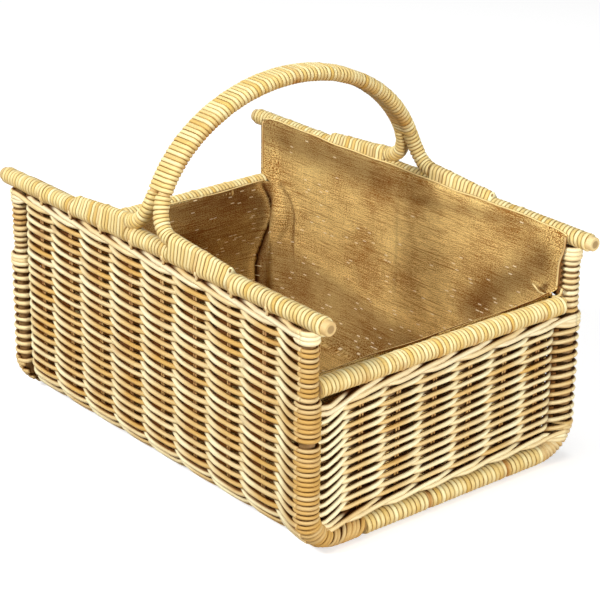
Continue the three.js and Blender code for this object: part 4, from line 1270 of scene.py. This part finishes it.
def fold_depth(place, z):
    """How far the cloth stands off the walls: the great fold of one corner, a pucker and soft waves."""
    s = FOLD_CORNER - place
    crease, second = fold_lines(z)
    height = np.interp(z, [18, 40, 69, 150, 165, 182, 195, 210], [3, 11, 15, 15, 14, 10, 6, 0])
    far = np.maximum(second, crease + 24)
    ridge = height * smooth(s, crease, crease + 12) * (1 - smooth(s, crease + 17, far))
    low = smooth(z, 60, 95) * (1 - smooth(z, 195, 212))
    ridge += low * (2.6 * hump(s - second - 8, 6) - 2.2 * hump(s - second, 2.6))
    heap = np.where(s < crease, 5.5 * np.exp((s - crease) / 14), 0)
    ridge += heap * smooth(z, 25, 60) * (1 - smooth(z, 190, 205))
    # The pucker beside the far right post
    t = place - (STOPS[2] - 15)
    roll = 4.0 * hump(t - 3, 3.2) * smooth(z, 205, 222)
    curl = 5.5 * hump(z - 212, 4.5) * smooth(t, -6, 0) * (1 - smooth(t, 34, 44))
    pit = -4.5 * hump(t - 27, 6) * hump(z - 222, 6)
    waves = 1.1 * np.sin(place / 37 + z / 51) + 0.9 * np.sin(place / 23 - z / 34 + 1.3)
    waves += 0.6 * np.sin(place / 11 + z / 60) * smooth(z, 180, 290)
    return ridge + roll + curl + pit + waves * smooth(z, 20, 60)


def bent_in(value, inward, half, left):
    """One plan coordinate of the cloth where it bends onto the floor and its corner's radius has shrunk."""
    centre = np.minimum(np.abs(value + CLOTH_CORNER * inward), half + np.minimum(left, 0))
    return np.sign(value) * (centre + np.maximum(left, 0) * np.abs(inward))


def cloth_point(place, row):
    """A point of the cloth. Rows: high hem 0, low hem 1, bend 2, floor 3 and its middle 4."""
    x, y, in_x, in_y, share = cloth_plan(place)
    end_hem = np.where(x > 0, END_HEM[1], END_HEM[-1]) + np.sin(place / 29)
    end_hem = end_hem + np.where(x > 0, 3.0, 0) * smooth(y, 150, 178)
    bend = mix(END_BEND, LONG_BEND, in_y**2)
    high, low, curve, floor = (np.clip(row - k, 0, 1) for k in range(4))
    beyond = np.clip(1 - share, 0, 0.5) * 2
    wavy = HEM_Z + 0.7 * np.sin(place / 33) + 0.4 * np.sin(place / 12)
    wavy = wavy - 4.5 * beyond**3 - 3.0 * smooth(-y, 0, 60)
    z = mix(mix(wavy, end_hem, high), CLOTH_FLOOR + bend, low)
    z = np.where(row > 2, CLOTH_FLOOR + bend * (1 - np.sin(curve * math.pi / 2)), z)
    # The high part of a long side lies flat against the rail and runs past the end walls
    up = smooth(z, 203, 210) * (share > 0.49)
    edge = np.where(x > 0, np.interp(z, WING_Z, WING_X), np.interp(z, [203, 208], [268, 282.5]))
    wing_x = np.sign(x) * (np.minimum(np.abs(x), HALF_X) + beyond * (edge - HALF_X))
    rail = np.interp(z, [250, 272, 285, 290.5], [CLOTH_Y, 187.2, 187.2, 190.8])
    post = np.interp(z, [283, 290], [186.2, 190.2])
    wing_y = np.sign(y) * mix(rail, post, smooth(np.abs(wing_x), 250, 264))
    x, y = mix(x, wing_x, up), mix(y, wing_y, up)
    rise = np.where(z > 250, 1 - smooth(z, 250, 275), 1)
    depth = np.maximum(fold_depth(place, z) * rise * (1 - curve), -1.2)
    # The two bends meet in a mitre at each corner of the floor
    away = 1 - np.cos(curve * math.pi / 2)
    x = np.where(row > 2, bent_in(x, in_x, HALF_X, CLOTH_CORNER - END_BEND * away), x)
    y = np.where(row > 2, bent_in(y, in_y, HALF_Y, CLOTH_CORNER - LONG_BEND * away), y)
    x, y = x + in_x * depth, y + in_y * depth
    return np.stack([x * (1 - floor), y * (1 - floor), z], axis=-1), share


def make_lining():
    """The whole cloth as one sheet, cut away beside the wings, with its thickness."""
    places = cloth_columns()
    rows = [np.linspace(k, k + 1, count)[:-1] for k, count in enumerate((27, 40, 9))]
    rows = np.concatenate([*rows, np.linspace(3, 4, 14)])
    bm, share = grid(len(places) - 1, len(rows) - 1)
    place = places[np.rint(share[:, 0] * (len(places) - 1)).astype(int)]
    row = rows[np.rint(share[:, 1] * (len(rows) - 1)).astype(int)]
    points, long = cloth_point(place, row)
    uv = bm.loops.layers.uv.new("UVMap")
    extra = []
    for face in bm.faces:
        face.smooth = True
        verts = [v.index for v in face.verts]
        top = row[verts].max()
        if top <= 1.0001 and long[verts].min() < 0.495:
            extra.append(face)
        for loop in face.loops:
            i = loop.vert.index
            # The pattern of the floor lies on its plan, and that of the walls runs round them
            if top > 3.0001:
                loop[uv].uv = (points[i][0] * MM, points[i][1] * MM)
            else:
                loop[uv].uv = (place[i] * MM, points[i][2] * MM)
    lay(bm, points, "shade", cloth_shade(place, *points.T))
    bmesh.ops.delete(bm, geom=extra, context="FACES")
    bmesh.ops.remove_doubles(bm, verts=bm.verts, dist=1e-6)
    bmesh.ops.recalc_face_normals(bm, faces=bm.faces)
    mesh = mesh_of(bm, "hessian_lining")
    piece = finish_piece("hessian_lining", mesh, hessian_material(), ["lining"])
    thick = piece.modifiers.new("thickness", "SOLIDIFY")
    thick.thickness = 0.0012
    thick.offset = 0
    return piece


def make_hem():
    """The cream cords along the lining's edges, and the rolled edges of its wings."""
    places = cloth_columns()
    cords, rolls = Strands(), Strands()
    for sign in (1, -1):
        near = places[(places > STOPS[1] + 13) & (places < STOPS[4] - 13)]
        near = near if sign > 0 else near + STOPS[5] - STOPS[1]
        points, share = cloth_point(near, np.zeros(len(near)))
        keep = share > 0.52
        cords.add(points[keep] + [0, -sign * 0.4, 0.4], 1.15, None, (0, -sign, 0.4))
        for at in (near[keep][0], near[keep][-1]):
            side, _ = cloth_point(np.full(24, at), np.linspace(0.02, 0.86, 24))
            rolls.add(side + [-0.3 * np.sign(side[0][0]), -sign * 0.7, 0], 1.5, 0.3, (0, -sign, 0))
    y = np.linspace(-178, 178, 90)
    for sign in (1, -1):
        z = END_HEM[sign] + 0.9 * np.sin(y / 21) + (3.0 * smooth(y, 150, 178) if sign > 0 else 0)
        cords.add(np.stack([np.full(90, sign * (CLOTH_X - 0.3)), y, z], axis=1), 1.0, None, (-sign, 0, 0.5))
    # The rolled edge of one wing turns in above the end rail
    curl = np.array([
        (281, 184.6, 222), (279, 184.3, 214), (274, 184, 210), (268, 183.6, 208.3), (262, 182.6, 208),
        (256, 180.8, 208), (250.5, 178, 210), (247.5, 176.5, 213.5), (245, 176, 216), (241, 177, 217),
    ])
    rolls.add(curl, np.linspace(1.9, 1.3, len(curl)), 0.1, (0, -1, 0.4))
    cords.make("lining_hem_cords", "hem_cord", sides=6)
    rolls.make("lining_edge_rolls", "rolled_hessian")


class BASKET_OT_lining(BasketOperator):
    """Line the basket with hessian, high at the sides and low at the ends"""

    bl_idname = "basket.lining"
    bl_label = "Hessian Lining"

    def execute(self, context):
        piece = make_lining()
        make_hem()
        return {"FINISHED"}


# Stage


class BASKET_OT_stage(BasketOperator):
    """Set the pale floor, the soft lamps and the camera at the photograph's angle"""

    bl_idname = "basket.stage"
    bl_label = "Stage"

    def execute(self, context):
        scene = context.scene
        scene.view_settings.view_transform = "Standard"
        make_floor()
        make_world(scene)
        for name, place, aim, width, power in (
            ("key_lamp", (-0.3, -2.6, 2.2), (0, 0, 0.15), 0.7, 96),
            ("top_lamp", (0.3, 0.2, 3.0), (0, 0, 0.15), 1.2, 26),
            ("end_lamp", (2.5, -0.35, 0.25), (0, 0, 0.12), 0.44, 46),
        ):
            data = bpy.data.lights.new(name, "AREA")
            data.size = width
            data.energy = power
            lamp = bpy.data.objects.new(name, data)
            scene.collection.objects.link(lamp)
            lamp.location = place
            lamp.visible_camera = False
            lamp.rotation_euler = (Vector(aim) - Vector(place)).to_track_quat("-Z", "Y").to_euler()
        make_camera(scene)
        return {"FINISHED"}


def make_floor():
    bm = bmesh.new()
    bmesh.ops.create_grid(bm, x_segments=1, y_segments=1, size=4)
    floor = bpy.data.objects.new("floor", mesh_of(bm, "floor"))
    floor.location.z = -0.0004
    bpy.context.scene.collection.objects.link(floor)
    material = bpy.data.materials.new("white_floor")
    n = fresh_nodes(material)
    plain = n.node("BsdfDiffuse", {"Color": (0.8, 0.8, 0.8, 1)})
    dull = n.node("BsdfDiffuse", {"Color": (0.4, 0.38, 0.35, 1)})
    glow = n.node("Emission", {"Color": WHITE, "Strength": 0.62})
    both = n.node("AddShader", {0: plain.outputs[0], 1: glow.outputs[0]})
    shown = n.node("MixShader", {0: n.looked_at(), 1: dull.outputs[0], 2: both.outputs[0]})
    n.node("OutputMaterial", {0: shown.outputs[0]})
    floor.data.materials.append(material)


def make_world(scene):
    scene.world = bpy.data.worlds.new("studio")
    n = fresh_nodes(scene.world)
    soft, white = (n.node("Background", {"Color": WHITE, "Strength": strength}) for strength in (0.15, 1.0))
    both = n.node("MixShader", {0: n.looked_at(), 1: soft.outputs[0], 2: white.outputs[0]})
    n.node("OutputWorld", {0: both.outputs[0]})


def make_camera(scene):
    azimuth, elevation, roll = (math.radians(v) for v in (49.94, 22.51, 0.80))
    level = math.cos(elevation)
    back = Vector((math.sin(azimuth) * level, -math.cos(azimuth) * level, math.sin(elevation)))
    right = Vector((0, 0, 1)).cross(back).normalized()
    up = back.cross(right)
    c, s = math.cos(roll), math.sin(roll)
    right, up = c * right + s * up, -s * right + c * up
    data = bpy.data.cameras.new("photo_camera")
    data.sensor_width = 36
    data.lens = 2061.92 / 600 * 36
    data.clip_end = 50
    camera = bpy.data.objects.new("photo_camera", data)
    scene.collection.objects.link(camera)
    eye = Vector((1.7906, -1.4847, 1.1272))
    camera.matrix_world = Matrix.Translation(eye) @ Matrix((right, up, back)).transposed().to_4x4()
    scene.camera = camera


class BASKET_PT_panel(Panel):
    """Basket tools"""

    bl_idname = "BASKET_PT_panel"
    bl_label = "Basket"
    bl_space_type = "VIEW_3D"
    bl_region_type = "UI"
    bl_category = "Basket"

    def draw(self, context):
        for operator in OPERATORS:
            self.layout.operator(operator.bl_idname)
        for settings in (context.scene.basket_sizes, context.scene.basket_colours):
            box = self.layout.box()
            for key in settings.bl_rna.properties.keys():
                if key not in {"rna_type", "name"}:
                    box.prop(settings, key)


OPERATORS = (
    BASKET_OT_end_frames,
    BASKET_OT_rails,
    BASKET_OT_end_rails,
    BASKET_OT_handle,
    BASKET_OT_stakes,
    BASKET_OT_walls,
    BASKET_OT_lining,
    BASKET_OT_stage,
)
CLASSES = (BasketSizes, BasketColours, *OPERATORS, BASKET_PT_panel)


def register():
    for cls in CLASSES:
        bpy.utils.register_class(cls)
    bpy.types.Scene.basket_sizes = PointerProperty(type=BasketSizes)
    bpy.types.Scene.basket_colours = PointerProperty(type=BasketColours)


def unregister():
    del bpy.types.Scene.basket_colours
    del bpy.types.Scene.basket_sizes
    for cls in reversed(CLASSES):
        bpy.utils.unregister_class(cls)


def main():
    register()
    bpy.ops.basket.end_frames()
    bpy.ops.basket.rails()
    bpy.ops.basket.end_rails()
    bpy.ops.basket.handle()
    bpy.ops.basket.stakes()
    bpy.ops.basket.walls()
    bpy.ops.basket.lining()
    bpy.ops.basket.stage()


if __name__ == "__main__":
    main()
